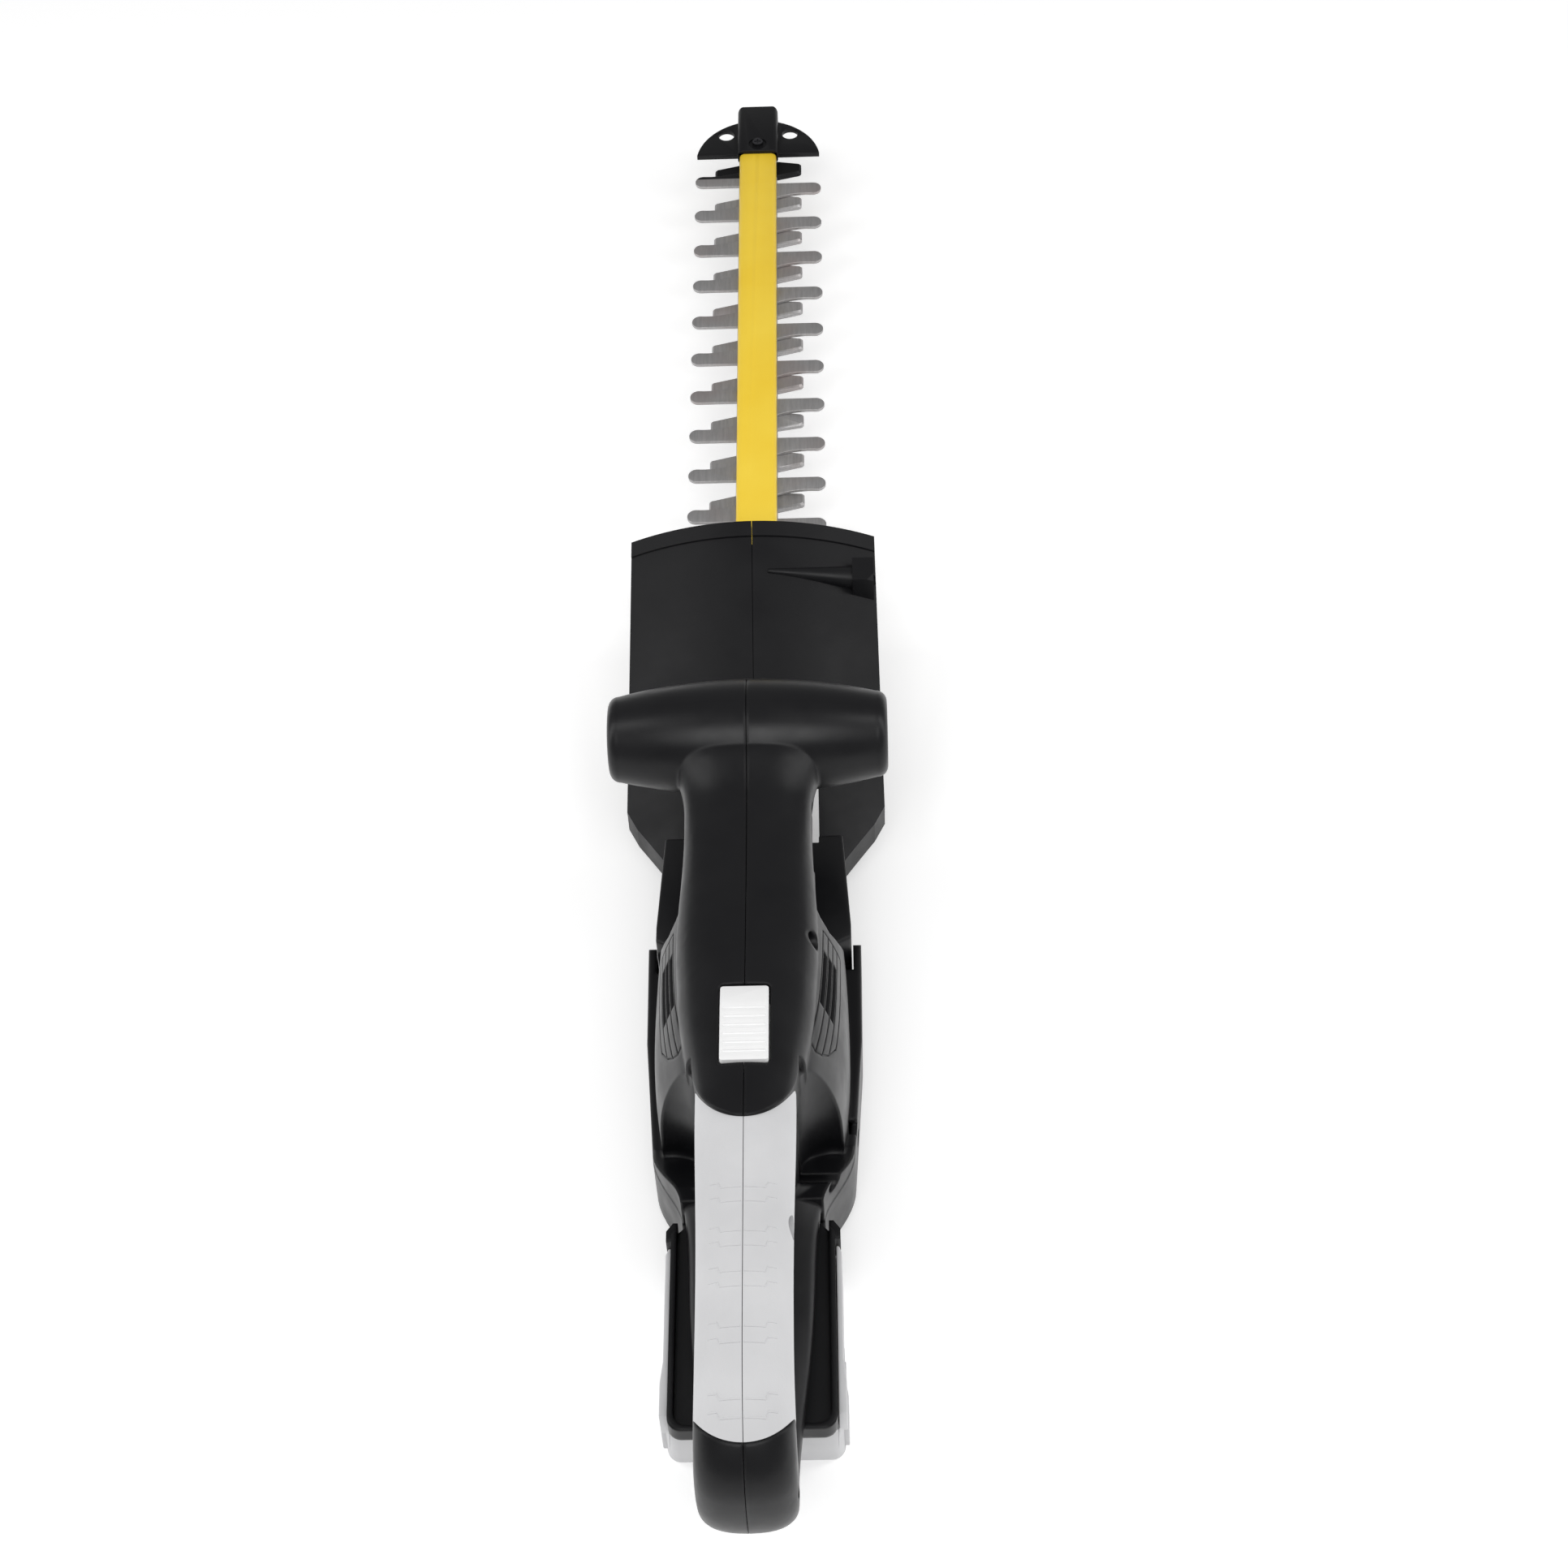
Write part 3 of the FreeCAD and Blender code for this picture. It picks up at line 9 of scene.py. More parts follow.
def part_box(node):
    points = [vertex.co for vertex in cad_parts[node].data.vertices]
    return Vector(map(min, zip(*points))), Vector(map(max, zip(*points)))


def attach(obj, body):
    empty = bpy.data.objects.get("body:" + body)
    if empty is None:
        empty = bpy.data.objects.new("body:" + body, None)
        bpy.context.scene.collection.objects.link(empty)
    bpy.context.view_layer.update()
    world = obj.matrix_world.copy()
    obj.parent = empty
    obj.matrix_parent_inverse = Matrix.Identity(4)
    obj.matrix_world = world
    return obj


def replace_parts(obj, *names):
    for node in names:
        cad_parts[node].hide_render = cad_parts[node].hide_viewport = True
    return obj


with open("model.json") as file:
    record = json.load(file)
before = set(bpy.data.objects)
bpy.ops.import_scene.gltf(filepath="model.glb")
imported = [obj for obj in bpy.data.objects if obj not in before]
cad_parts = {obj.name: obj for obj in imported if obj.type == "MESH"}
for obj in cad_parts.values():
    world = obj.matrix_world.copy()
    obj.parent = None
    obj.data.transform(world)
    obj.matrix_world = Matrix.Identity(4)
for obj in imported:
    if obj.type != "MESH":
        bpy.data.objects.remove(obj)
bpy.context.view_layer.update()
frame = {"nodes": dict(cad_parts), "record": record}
nodes = frame["nodes"]

MM = 0.001
# foremost stretch of the cutters, painted near black as the shade under the tip guard's cap
SHADED_FRONT_Y = 404.5 * MM
SHADED_FRONT_BLUR = 0.6 * MM


# ---------------------------------------------------------------- node helpers


class Finish:
    """A material under construction: short calls that add and join shader nodes."""

    def __init__(self, name, colour, roughness, metallic=0.0, **sockets):
        self.material = bpy.data.materials.new(name)
        self.material.use_nodes = True
        self.tree = self.material.node_tree
        self.shader = self.tree.nodes["Principled BSDF"]
        self.set(self.shader, "Base Color", (*colour, 1.0))
        self.set(self.shader, "Roughness", roughness)
        self.set(self.shader, "Metallic", metallic)
        for socket, value in sockets.items():
            self.set(self.shader, socket.replace("_", " "), value)
        self.place = self.tree.nodes.new("ShaderNodeTexCoord").outputs["Object"]

    def set(self, node, socket, value):
        node.inputs[socket].default_value = value

    def link(self, source, node, socket):
        self.tree.links.new(source, node.inputs[socket])

    def stretched(self, scale):
        mapping = self.tree.nodes.new("ShaderNodeMapping")
        self.set(mapping, "Scale", scale)
        self.link(self.place, mapping, "Vector")
        return mapping.outputs["Vector"]

    def noise(self, scale, detail=3.0, rough=0.55, stretch=None):
        node = self.tree.nodes.new("ShaderNodeTexNoise")
        self.set(node, "Scale", scale)
        self.set(node, "Detail", detail)
        self.set(node, "Roughness", rough)
        self.link(self.stretched(stretch) if stretch else self.place, node, "Vector")
        return node.outputs["Fac"]

    def cells(self, scale, stretch=None):
        node = self.tree.nodes.new("ShaderNodeTexVoronoi")
        self.set(node, "Scale", scale)
        self.link(self.stretched(stretch) if stretch else self.place, node, "Vector")
        return node.outputs["Distance"]

    def ramp(self, source, *stops):
        """A colour ramp of (position, colour) stops."""
        node = self.tree.nodes.new("ShaderNodeValToRGB")
        elements = node.color_ramp.elements
        while len(elements) < len(stops):
            elements.new(0.5)
        for element, (position, colour) in zip(elements, stops):
            element.position = position
            element.color = (*colour, 1.0)
        self.link(source, node, "Fac")
        return node.outputs["Color"]

    def level(self, source, low, high, start=0.0, end=1.0):
        """The source's range start to end carried over to low to high."""
        node = self.tree.nodes.new("ShaderNodeMapRange")
        for socket, value in (("From Min", start), ("From Max", end), ("To Min", low), ("To Max", high)):
            self.set(node, socket, value)
        self.link(source, node, "Value")
        return node.outputs["Result"]

    def mix(self, share, first, second):
        node = self.tree.nodes.new("ShaderNodeMix")
        node.data_type = "RGBA"
        colours = (node.inputs[6], node.inputs[7])
        self.tree.links.new(share, node.inputs[0])
        for socket, value in zip(colours, (first, second)):
            if isinstance(value, tuple):
                socket.default_value = (*value, 1.0)
            else:
                self.tree.links.new(value, socket)
        return node.outputs[2]

    def bumps(self, *layers, soften=None):
        """Bump layers of (height source, strength, distance), over edges softened by a radius."""
        normal = None
        if soften:
            bevel = self.tree.nodes.new("ShaderNodeBevel")
            bevel.samples = 6
            self.set(bevel, "Radius", soften)
            normal = bevel.outputs["Normal"]
        for height, strength, distance in layers:
            bump = self.tree.nodes.new("ShaderNodeBump")
            self.set(bump, "Strength", strength)
            self.set(bump, "Distance", distance)
            self.link(height, bump, "Height")
            if normal:
                self.link(normal, bump, "Normal")
            normal = bump.outputs["Normal"]
        self.link(normal, self.shader, "Normal")

    def colour(self, source):
        self.link(source, self.shader, "Base Color")

    def roughness(self, source):
        self.link(source, self.shader, "Roughness")


# ---------------------------------------------------------------- finishes


def black_shell():
    """Satin spark-eroded black moulding."""
    f = Finish("black_shell", (0.006, 0.006, 0.007), 0.34, Specular_IOR_Level=0.26)
    f.colour(f.ramp(f.noise(22.0), (0.3, (0.005, 0.005, 0.006)), (0.75, (0.008, 0.008, 0.009))))
    f.roughness(f.level(f.noise(60.0), 0.29, 0.4, 0.3, 0.7))
    f.bumps((f.cells(2600.0), 0.14, 0.00008), (f.noise(900.0), 0.08, 0.0001), soften=0.0022)
    return f.material


def guard_plastic():
    """The guard's slightly duller black moulding."""
    f = Finish("guard_plastic", (0.006, 0.006, 0.007), 0.42, Specular_IOR_Level=0.24)
    f.colour(f.ramp(f.noise(18.0), (0.3, (0.005, 0.005, 0.006)), (0.8, (0.008, 0.008, 0.009))))
    f.roughness(f.level(f.noise(45.0), 0.36, 0.5, 0.3, 0.7))
    f.bumps((f.cells(2200.0), 0.18, 0.00009))
    return f.material


def grey_grip():
    """Soft light-grey skin of the rear handle."""
    f = Finish("grey_grip", (0.62, 0.62, 0.63), 0.62, Sheen_Weight=0.1, Sheen_Roughness=0.5)
    f.colour(f.ramp(f.noise(30.0), (0.25, (0.58, 0.58, 0.59)), (0.8, (0.66, 0.66, 0.67))))
    f.roughness(f.level(f.noise(120.0), 0.56, 0.7, 0.3, 0.7))
    f.bumps((f.cells(1900.0), 0.3, 0.0001), (f.noise(140.0), 0.08, 0.0004))
    return f.material


def moulded(name, dark, light, rough):
    """Plain moulded plastic between two near shades."""
    f = Finish(name, light, rough)
    f.colour(f.ramp(f.noise(35.0), (0.3, dark), (0.75, light)))
    f.roughness(f.level(f.noise(90.0), rough - 0.05, rough + 0.06, 0.3, 0.7))
    f.bumps((f.cells(2000.0), 0.15, 0.00008))
    return f.material


def rubber():
    f = Finish("rubber", (0.02, 0.02, 0.02), 0.75)
    f.colour(f.ramp(f.noise(80.0), (0.3, (0.016, 0.016, 0.016)), (0.8, (0.03, 0.03, 0.03))))
    f.bumps((f.noise(900.0), 0.4, 0.0002))
    return f.material


def metal(name, dark, light, rough, lines=(40.0, 900.0, 900.0)):
    """Brushed or ground metal with fine lines across one axis."""
    f = Finish(name, light, rough, metallic=1.0)
    scratches = f.noise(1.0, 4.0, 0.7, stretch=lines)
    f.colour(f.ramp(scratches, (0.3, dark), (0.75, light)))
    f.roughness(f.level(f.noise(160.0), rough - 0.08, rough + 0.1, 0.3, 0.7))
    f.bumps((scratches, 0.12, 0.00008))
    return f.material


def blade_steel(name, dark, light, rough):
    """Stamped and satin-ground steel with handling tints, its foremost ends painted near black as the
    shade under the tip guard's cap.
    """
    f = Finish(name, light, rough, metallic=0.75)
    ground = f.noise(1.0, 4.0, 0.7, stretch=(700.0, 60.0, 700.0))
    satin = f.ramp(ground, (0.25, dark), (0.8, light))
    tint = f.level(f.noise(38.0, 2.0), 0.0, 0.5, 0.5, 0.72)
    tone = f.mix(tint, satin, (0.40, 0.34, 0.33))
    split = f.tree.nodes.new("ShaderNodeSeparateXYZ")
    f.link(f.place, split, "Vector")
    # painted shade: the foremost stretch turns near black, standing in for the shadow under the tip
    # guard's cap
    painted_shade = f.level(split.outputs["Y"], 0.0, 1.0, SHADED_FRONT_Y - SHADED_FRONT_BLUR, SHADED_FRONT_Y)
    f.colour(f.mix(painted_shade, tone, (0.012, 0.012, 0.013)))
    f.roughness(f.level(f.noise(90.0), rough - 0.06, rough + 0.1, 0.3, 0.7))
    f.bumps((ground, 0.15, 0.0001))
    return f.material


def yellow_paint():
    """Warm yellow powder coat."""
    f = Finish("yellow_paint", (0.95, 0.66, 0.05), 0.42, Coat_Weight=0.15, Coat_Roughness=0.3)
    f.colour(f.ramp(f.noise(24.0), (0.25, (0.95, 0.64, 0.03)), (0.8, (1.0, 0.72, 0.06))))
    f.roughness(f.level(f.noise(140.0), 0.37, 0.5, 0.3, 0.7))
    f.bumps((f.noise(700.0), 0.12, 0.0002))
    return f.material


def circuit_board():
    f = Finish("board", (0.03, 0.15, 0.07), 0.35)
    traces = f.cells(260.0, stretch=(1.0, 1.0, 3.0))
    f.colour(f.ramp(traces, (0.08, (0.06, 0.26, 0.12)), (0.12, (0.02, 0.12, 0.05))))
    f.bumps((traces, 0.1, 0.0001))
    return f.material


FINISHES = {
    "black_shell": black_shell(),
    "guard_plastic": guard_plastic(),
    "grey_grip": grey_grip(),
    "rubber": rubber(),
    "dark_screw": metal("dark_screw", (0.05, 0.05, 0.055), (0.11, 0.11, 0.12), 0.38),
    "zinc_steel": metal("zinc_steel", (0.5, 0.5, 0.5), (0.66, 0.67, 0.68), 0.32),
    "motor_plastic": moulded("motor_plastic", (0.03, 0.03, 0.03), (0.05, 0.05, 0.05), 0.5),
    "magnet": moulded("magnet", (0.05, 0.05, 0.055), (0.08, 0.08, 0.085), 0.6),
    "carbon": moulded("carbon", (0.015, 0.015, 0.015), (0.035, 0.035, 0.035), 0.7),
    "brass": metal("brass", (0.6, 0.42, 0.16), (0.8, 0.6, 0.28), 0.3),
    "bearing_steel": metal("bearing_steel", (0.55, 0.55, 0.56), (0.72, 0.72, 0.73), 0.18),
    "lamination": metal("lamination", (0.25, 0.25, 0.26), (0.42, 0.42, 0.43), 0.4, (30.0, 30.0, 2400.0)),
    "copper": metal("copper", (0.5, 0.2, 0.08), (0.75, 0.36, 0.17), 0.28, (60.0, 60.0, 1500.0)),
    "gear_steel": metal("gear_steel", (0.32, 0.32, 0.33), (0.5, 0.5, 0.51), 0.3),
    "blade_steel": blade_steel("blade_steel", (0.34, 0.335, 0.335), (0.5, 0.49, 0.49), 0.4),
    "yellow_paint": yellow_paint(),
    "white_button": moulded("white_button", (0.84, 0.84, 0.84), (0.9, 0.9, 0.9), 0.5),
    "spring_steel": metal("spring_steel", (0.45, 0.45, 0.46), (0.65, 0.65, 0.66), 0.25),
    "trigger_plastic": moulded("trigger_plastic", (0.012, 0.012, 0.013), (0.02, 0.02, 0.021), 0.4),
    "switch_plastic": moulded("switch_plastic", (0.04, 0.04, 0.045), (0.07, 0.07, 0.075), 0.45),
    "board": circuit_board(),
    "battery_black": moulded("battery_black", (0.012, 0.012, 0.013), (0.019, 0.019, 0.02), 0.42),
    "battery_grey": moulded("battery_grey", (0.6, 0.6, 0.61), (0.68, 0.68, 0.69), 0.48),
    "latch_grey": moulded("latch_grey", (0.55, 0.55, 0.56), (0.63, 0.63, 0.64), 0.48),
    "cell_wrap": moulded("cell_wrap", (0.06, 0.2, 0.42), (0.08, 0.26, 0.5), 0.3),
}


def dress_cad():
    """Every CAD node gets the finish of its material slot."""
    for row in frame["record"]["subparts"]:
        mesh = nodes[row["node"]].data
        mesh.materials.clear()
        mesh.materials.append(FINISHES[row["material_slot"]])


dress_cad()


# ---------------------------------------------------------------- crisp edges


WELD = 1e-6
FLAT_ENOUGH = 1e-5
SMOOTH_LIMIT = math.radians(38)
SHARP_FROM = math.radians(35)
COPLANAR = math.radians(0.8)


def cad_mesh(node):
    """A welded working copy of a CAD node's mesh, in the row frame."""
    work = bmesh.new()
    work.from_mesh(nodes[node].data)
    work.transform(nodes[node].matrix_world)
    bmesh.ops.remove_doubles(work, verts=work.verts, dist=WELD)
    bmesh.ops.dissolve_limit(work, angle_limit=COPLANAR, verts=work.verts, edges=work.edges)
    return work


def bevel(work, chosen, width, segments):
    edges = [e for e in work.edges if len(e.link_faces) == 2 and chosen(e)]
    bmesh.ops.bevel(work, geom=edges, offset=width, offset_type="OFFSET", segments=segments, profile=0.5,
                    affect="EDGES", clamp_overlap=False)


def is_sharp(edge):
    return edge.calc_face_angle(0.0) > SHARP_FROM


def add_piece(name, work, body, slot):
    """Turns the work mesh into a piece that rides on the body."""
    bmesh.ops.recalc_face_normals(work, faces=work.faces)
    mesh = bpy.data.meshes.new(name)
    work.to_mesh(mesh)
    work.free()
    mesh.shade_smooth()
    mesh.set_sharp_from_angle(angle=SMOOTH_LIMIT)
    mesh.materials.clear()
    mesh.materials.append(FINISHES[slot])
    piece = bpy.data.objects.new(name, mesh)
    bpy.context.scene.collection.objects.link(piece)
    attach(piece, body)
    return piece


def finish_piece(name, work, node, body, slot):
    """Turns the work mesh into the piece that stands for the node."""
    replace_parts(add_piece(name, work, body, slot), node)


# node, body, edge width in mm
EASED = [
    ("top_comb", "trimmer", 0.25),
    ("blade_bar", "trimmer", 0.3),
    ("tip_guard", "trimmer", 0.35),
    ("gear_cover", "trimmer", 0.6),
    ("gear_housing", "trimmer", 0.7),
    ("battery_bottom_shell", "battery", 0.5),
    ("battery_top_shell", "battery", 0.4),
    ("battery_latch_left", "left_latch", 0.5),
    ("battery_latch_right", "right_latch", 0.5),
    ("lock_off_slide", "lock_off", 0.35),
    ("trigger", "trigger_lever", 0.8),
    ("rubber_feet", "trimmer", 0.5),
]


def ease_edges():
    slots = {row["node"]: row["material_slot"] for row in frame["record"]["subparts"]}
    for node, body, width in EASED:
        work = cad_mesh(node)
        bevel(work, is_sharp, width * MM, 2)
        finish_piece(node + "_eased", work, node, body, slots[node])


TOOTH_ROOT_X = 12.2 * MM
TEETH_REAR_Y = -20 * MM
GROUND_WIDTH = 1.0 * MM


def grind_cutter(node, body, upper):
    """A cutter whose short teeth have a ground face along their edges."""
    work = cad_mesh(node)
    low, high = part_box(node)
    level = high.z if upper else low.z

    def is_cutting_edge(edge):
        middle = (edge.verts[0].co + edge.verts[1].co) / 2
        flat = all(abs(v.co.z - level) < FLAT_ENOUGH for v in edge.verts)
        return flat and is_sharp(edge) and abs(middle.x) > TOOTH_ROOT_X and middle.y > TEETH_REAR_Y

    bevel(work, is_cutting_edge, GROUND_WIDTH, 1)
    finish_piece(node + "_ground", work, node, body, "blade_steel")


ease_edges()
grind_cutter("upper_cutter", "upper_blade", True)
grind_cutter("lower_cutter", "lower_blade", False)


# ---------------------------------------------------------------- raised bands on the grip

# mm along the handle; each band is two lines, the second BAND_GAP behind the first
BAND_YS = (-340.0, -360.0, -378.0, -402.0, -430.0)
BAND_GAP = 6.5
BAND_LIFT = 0.3 * MM
BAND_LINE = 1.0 * MM
BAND_SPACING = 0.8 * MM
# share of the line's width, share of its lift
BAND_SECTION = ((-0.5, -0.4), (-0.25, 1.0), (0.25, 1.0), (0.5, -0.4))


def surface_sampler(node):
    """Gives the skin's top point above any x, y."""
    work = cad_mesh(node)
    tree = BVHTree.FromBMesh(work)
    work.free()
    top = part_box(node)[1].z + 0.05
    return lambda x, y: tree.ray_cast(Vector((x, y, top)), Vector((0, 0, -1)))


def band_path(side, y):
    """Plan of one moulded line: across the crown, with a step near its end."""
    step = 2.4 * MM
    corners = [(0.9, 0.0), (9.0, 0.0), (10.0, step), (13.5, step * 1.1)]
    return [(side * x * MM, y + rise) for x, rise in corners]


def along(path):
    """Closely spaced places on the path."""
    spots = []
    for (x0, y0), (x1, y1) in zip(path, path[1:]):
        count = max(2, int(abs(x1 - x0) / BAND_SPACING))
        spots += [(x0 + (x1 - x0) * i / count, y0 + (y1 - y0) * i / count) for i in range(count)]
    return spots + [path[-1]]


def band_ring(work, top_of, x, y):
    """One section of a line, or fewer than four corners where it runs off the skin."""
    ring = []
    for across, lift in BAND_SECTION:
        point, normal, _, _ = top_of(x, y + across * BAND_LINE)
        if point is None:
            break
        ring.append(work.verts.new(point + normal * lift * BAND_LIFT))
    return ring


def bands_for(node, side, body):
    """Thin moulded lines lying on one half of the grip, as one mesh."""
    top_of = surface_sampler(node)
    work = bmesh.new()
    for y in [y - gap for y in BAND_YS for gap in (0, BAND_GAP)]:
        rings = [band_ring(work, top_of, *spot) for spot in along(band_path(side, y * MM))]
        rings = [ring for ring in rings if len(ring) == len(BAND_SECTION)]
        for a, b in zip(rings, rings[1:]):
            for i in range(4):
                work.faces.new((a[i], a[(i + 1) % 4], b[(i + 1) % 4], b[i]))
        work.faces.new(rings[0])
        work.faces.new(rings[-1])
    add_piece(node + "_bands", work, body, "grey_grip")


bands_for("grip_left", -1, "trimmer")
bands_for("grip_right", 1, "trimmer")


# ---------------------------------------------------------------- black plug as painted shade in the grip's screw well

WELL_Y = -352.0 * MM
WELL_Z = 129.0 * MM
WELL_RADIUS = 3.3 * MM
WELL_RIM = 0.9 * MM
WELL_X = 14.0 * MM
WELL_SIDES = 32
PLUG_FRONT = 0.5 * MM
PLUG_BACK = 2.5 * MM


def rim_point(skin, dy, dz):
    """The grip's skin just outside the well, in the given direction from its middle."""
    reach = WELL_RADIUS + WELL_RIM
    y, z = WELL_Y + reach * dy, WELL_Z + reach * dz
    point = skin.ray_cast(Vector((0.2, y, z)), Vector((-1, 0, 0)))[0]
    if point is None:
        point = skin.find_nearest(Vector((WELL_X, y, z)))[0]
    return point


def well_shade_plug():
    """A black plug just under the grip's skin, following its slope, put in as painted shade for the
    screw well.
    """
    grip = cad_mesh("grip_right")
    skin = BVHTree.FromBMesh(grip)
    grip.free()
    front, back = [], []
    work = bmesh.new()
    for i in range(WELL_SIDES):
        turn = 2 * math.pi * i / WELL_SIDES
        dy, dz = math.cos(turn), math.sin(turn)
        x = rim_point(skin, dy, dz).x
        y, z = WELL_Y + WELL_RADIUS * dy, WELL_Z + WELL_RADIUS * dz
        front.append(work.verts.new((x - PLUG_FRONT, y, z)))
        back.append(work.verts.new((x - PLUG_BACK, y, z)))
    for i in range(WELL_SIDES):
        j = (i + 1) % WELL_SIDES
        work.faces.new((front[i], front[j], back[j], back[i]))
    work.faces.new(front)
    work.faces.new(back)
    # painted shade: the black plug darkens the well where the darkness is only shade
    add_piece("grip_well_shade_plug", work, "trimmer", "black_shell")


# ---------------------------------------------------------------- moulded ridges

RIDGE_INPUTS = [
    ("Count", "Int"),
    ("Start", "Vector"),
    ("Step", "Vector"),
    ("Turn", "Vector"),
    ("Length", "Float"),
    ("Radius", "Float"),
    ("Material", "Material"),
]
BUTTON_FIRST_Y = -273.2 * MM
BUTTON_STEP = 4.4 * MM
BUTTON_FALL = 0.11 * MM
BUTTON_SINK = 0.43 * MM
BUTTON_RIDGE = 16.0 * MM
LATCH_FACE_X = 38.75 * MM
LATCH_FIRST = 18.0 * MM
LATCH_STEP = 2.6 * MM
LATCH_SHARE = 0.6


def ridge_tree():
    """Geometry nodes: a row of equal round bars."""
    tree = bpy.data.node_groups.new("ridge_row", "GeometryNodeTree")
    tree.interface.new_socket("Geometry", in_out="OUTPUT", socket_type="NodeSocketGeometry")
    for name, kind in RIDGE_INPUTS:
        tree.interface.new_socket(name, in_out="INPUT", socket_type="NodeSocket" + kind)
    new, link = tree.nodes.new, tree.links.new
    entry, out = new("NodeGroupInput"), new("NodeGroupOutput")
    line, bar = new("GeometryNodeMeshLine"), new("GeometryNodeMeshCylinder")
    line.mode = "OFFSET"
    bar.inputs["Vertices"].default_value = 20
    turn, place = new("GeometryNodeTransform"), new("GeometryNodeInstanceOnPoints")
    real, paint = new("GeometryNodeRealizeInstances"), new("GeometryNodeSetMaterial")
    link(entry.outputs["Count"], line.inputs["Count"])
    link(entry.outputs["Start"], line.inputs["Start Location"])
    link(entry.outputs["Step"], line.inputs["Offset"])
    link(entry.outputs["Length"], bar.inputs["Depth"])
    link(entry.outputs["Radius"], bar.inputs["Radius"])
    link(bar.outputs["Mesh"], turn.inputs["Geometry"])
    link(entry.outputs["Turn"], turn.inputs["Rotation"])
    link(line.outputs["Mesh"], place.inputs["Points"])
    link(turn.outputs["Geometry"], place.inputs["Instance"])
    link(place.outputs["Instances"], real.inputs["Geometry"])
    link(real.outputs["Geometry"], paint.inputs["Geometry"])
    link(entry.outputs["Material"], paint.inputs["Material"])
    link(paint.outputs["Geometry"], out.inputs["Geometry"])
    return tree


def ridges(tree, name, body, slot, **values):
    """Bakes one row of ridges into a plain mesh piece."""
    carrier = bpy.data.objects.new(name + "_carrier", bpy.data.meshes.new(name + "_carrier"))
    bpy.context.scene.collection.objects.link(carrier)
    modifier = carrier.modifiers.new("ridges", "NODES")
    modifier.node_group = tree
    values["Material"] = FINISHES[slot]
    for item in tree.interface.items_tree:
        if item.in_out == "INPUT":
            modifier[item.identifier] = values[item.name]
    carrier.update_tag()
    graph = bpy.context.evaluated_depsgraph_get()
    work = bmesh.new()
    work.from_mesh(bpy.data.meshes.new_from_object(carrier.evaluated_get(graph)))
    bpy.data.objects.remove(carrier)
    add_piece(name, work, body, slot)


def button_ridges(tree):
    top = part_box("lock_off_slide")[1].z
    start = (0.0, BUTTON_FIRST_Y, top - BUTTON_SINK)
    step = (0.0, BUTTON_STEP, -BUTTON_FALL)
    crossways = (0.0, math.pi / 2, 0.0)
    ridges(tree, "button_ridges", "lock_off", "white_button", Count=5, Radius=0.45 * MM,
           Start=start, Step=step, Turn=crossways, Length=BUTTON_RIDGE)


def latch_ridges(tree):
    for side, word in ((-1, "left"), (1, "right")):
        low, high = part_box("battery_latch_" + word)
        start = (side * LATCH_FACE_X, low.y + LATCH_FIRST, (low.z + high.z) / 2)
        body = word + "_latch"
        ridges(tree, body + "_ridges", body, "latch_grey", Count=6, Radius=0.5 * MM,
               Start=start, Step=(0.0, LATCH_STEP, 0.0), Turn=(0.0, 0.0, 0.0),
               Length=(high.z - low.z) * LATCH_SHARE)


well_shade_plug()
ridge_group = ridge_tree()
button_ridges(ridge_group)
latch_ridges(ridge_group)


# ---------------------------------------------------------------- stage

FLOOR_HALF = 6.0
FLOOR_GLOW = 0.32
WORLD_STRENGTH = 0.34
LIGHTS_AIM = (0.0, -0.05, 0.06)
CAMERA_PLACE = (0.0493, -0.9368, 1.1503)
CAMERA_LENS = 66.15


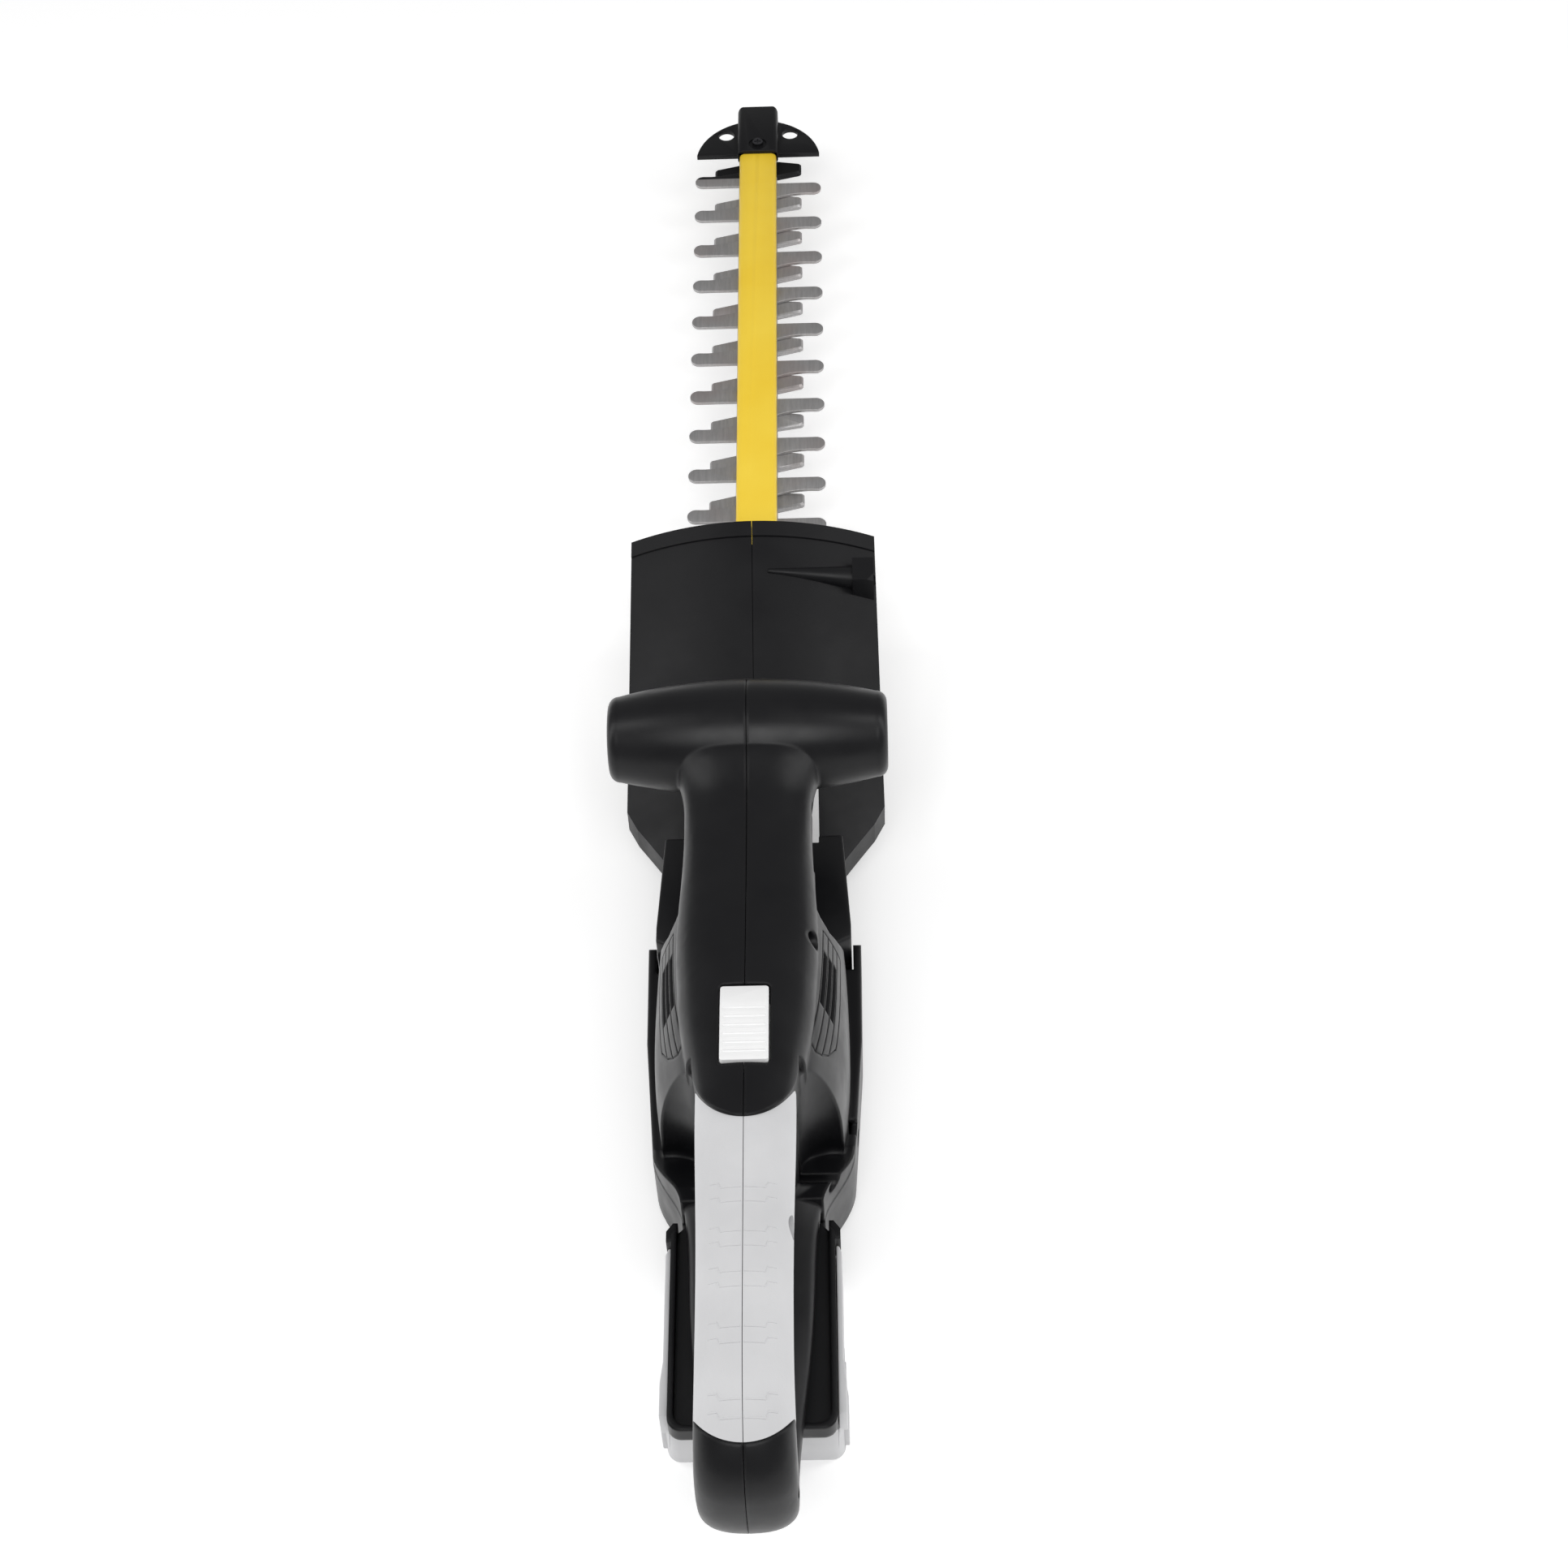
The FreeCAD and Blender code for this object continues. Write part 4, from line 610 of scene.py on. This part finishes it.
def make_floor():
    mesh = bpy.data.meshes.new("floor")
    corners = [(-1, -1), (1, -1), (1, 1), (-1, 1)]
    mesh.from_pydata([(x * FLOOR_HALF, y * FLOOR_HALF, 0) for x, y in corners], [], [(0, 1, 2, 3)])
    floor = bpy.data.objects.new("floor", mesh)
    bpy.context.scene.collection.objects.link(floor)
    f = Finish("floor_paper", (0.9, 0.9, 0.9), 0.85,
               Emission_Color=(1, 1, 1, 1), Emission_Strength=FLOOR_GLOW)
    f.colour(f.ramp(f.noise(3.0), (0.3, (0.89, 0.89, 0.89)), (0.7, (0.91, 0.91, 0.91))))
    mesh.materials.append(f.material)


def make_light(name, place, target, width, height, watts):
    data = bpy.data.lights.new(name, "AREA")
    data.shape = "RECTANGLE"
    data.size = width
    data.size_y = height
    data.energy = watts
    light = bpy.data.objects.new(name, data)
    bpy.context.scene.collection.objects.link(light)
    light.location = place
    light.rotation_euler = (Vector(target) - Vector(place)).to_track_quat("-Z", "Y").to_euler()


def make_lights():
    world = bpy.data.worlds.new("studio")
    world.use_nodes = True
    background = world.node_tree.nodes["Background"]
    background.inputs["Color"].default_value = (1.0, 1.0, 1.0, 1.0)
    background.inputs["Strength"].default_value = WORLD_STRENGTH
    bpy.context.scene.world = world
    make_light("left_strip", (-1.1, -0.1, 0.9), LIGHTS_AIM, 0.4, 1.8, 7.0)
    make_light("right_strip", (1.1, -0.1, 0.9), LIGHTS_AIM, 0.4, 1.8, 7.0)
    make_light("rear_soft", (0.0, -1.5, 2.2), LIGHTS_AIM, 1.6, 1.2, 26.0)
    bpy.context.scene.view_settings.view_transform = "Standard"


def make_camera():
    """A standing viewer's look down along the trimmer from behind the rear handle."""
    pitch, yaw, roll = math.radians(51.42), math.radians(-2.29), math.radians(-3.14)
    ahead = Vector((math.sin(yaw) * math.cos(pitch), math.cos(yaw) * math.cos(pitch), -math.sin(pitch)))
    right = ahead.cross(Vector((0, 0, 1))).normalized()
    up = right.cross(ahead)
    tilted_right = right * math.cos(roll) + up * math.sin(roll)
    tilted_up = up * math.cos(roll) - right * math.sin(roll)
    data = bpy.data.cameras.new("camera")
    data.lens = CAMERA_LENS
    data.sensor_width = 36.0
    data.clip_start = 0.05
    camera = bpy.data.objects.new("camera", data)
    bpy.context.scene.collection.objects.link(camera)
    turn = Matrix((tilted_right, tilted_up, -ahead)).transposed().to_4x4()
    camera.matrix_world = Matrix.Translation(CAMERA_PLACE) @ turn
    bpy.context.scene.camera = camera


make_floor()
make_lights()
make_camera()
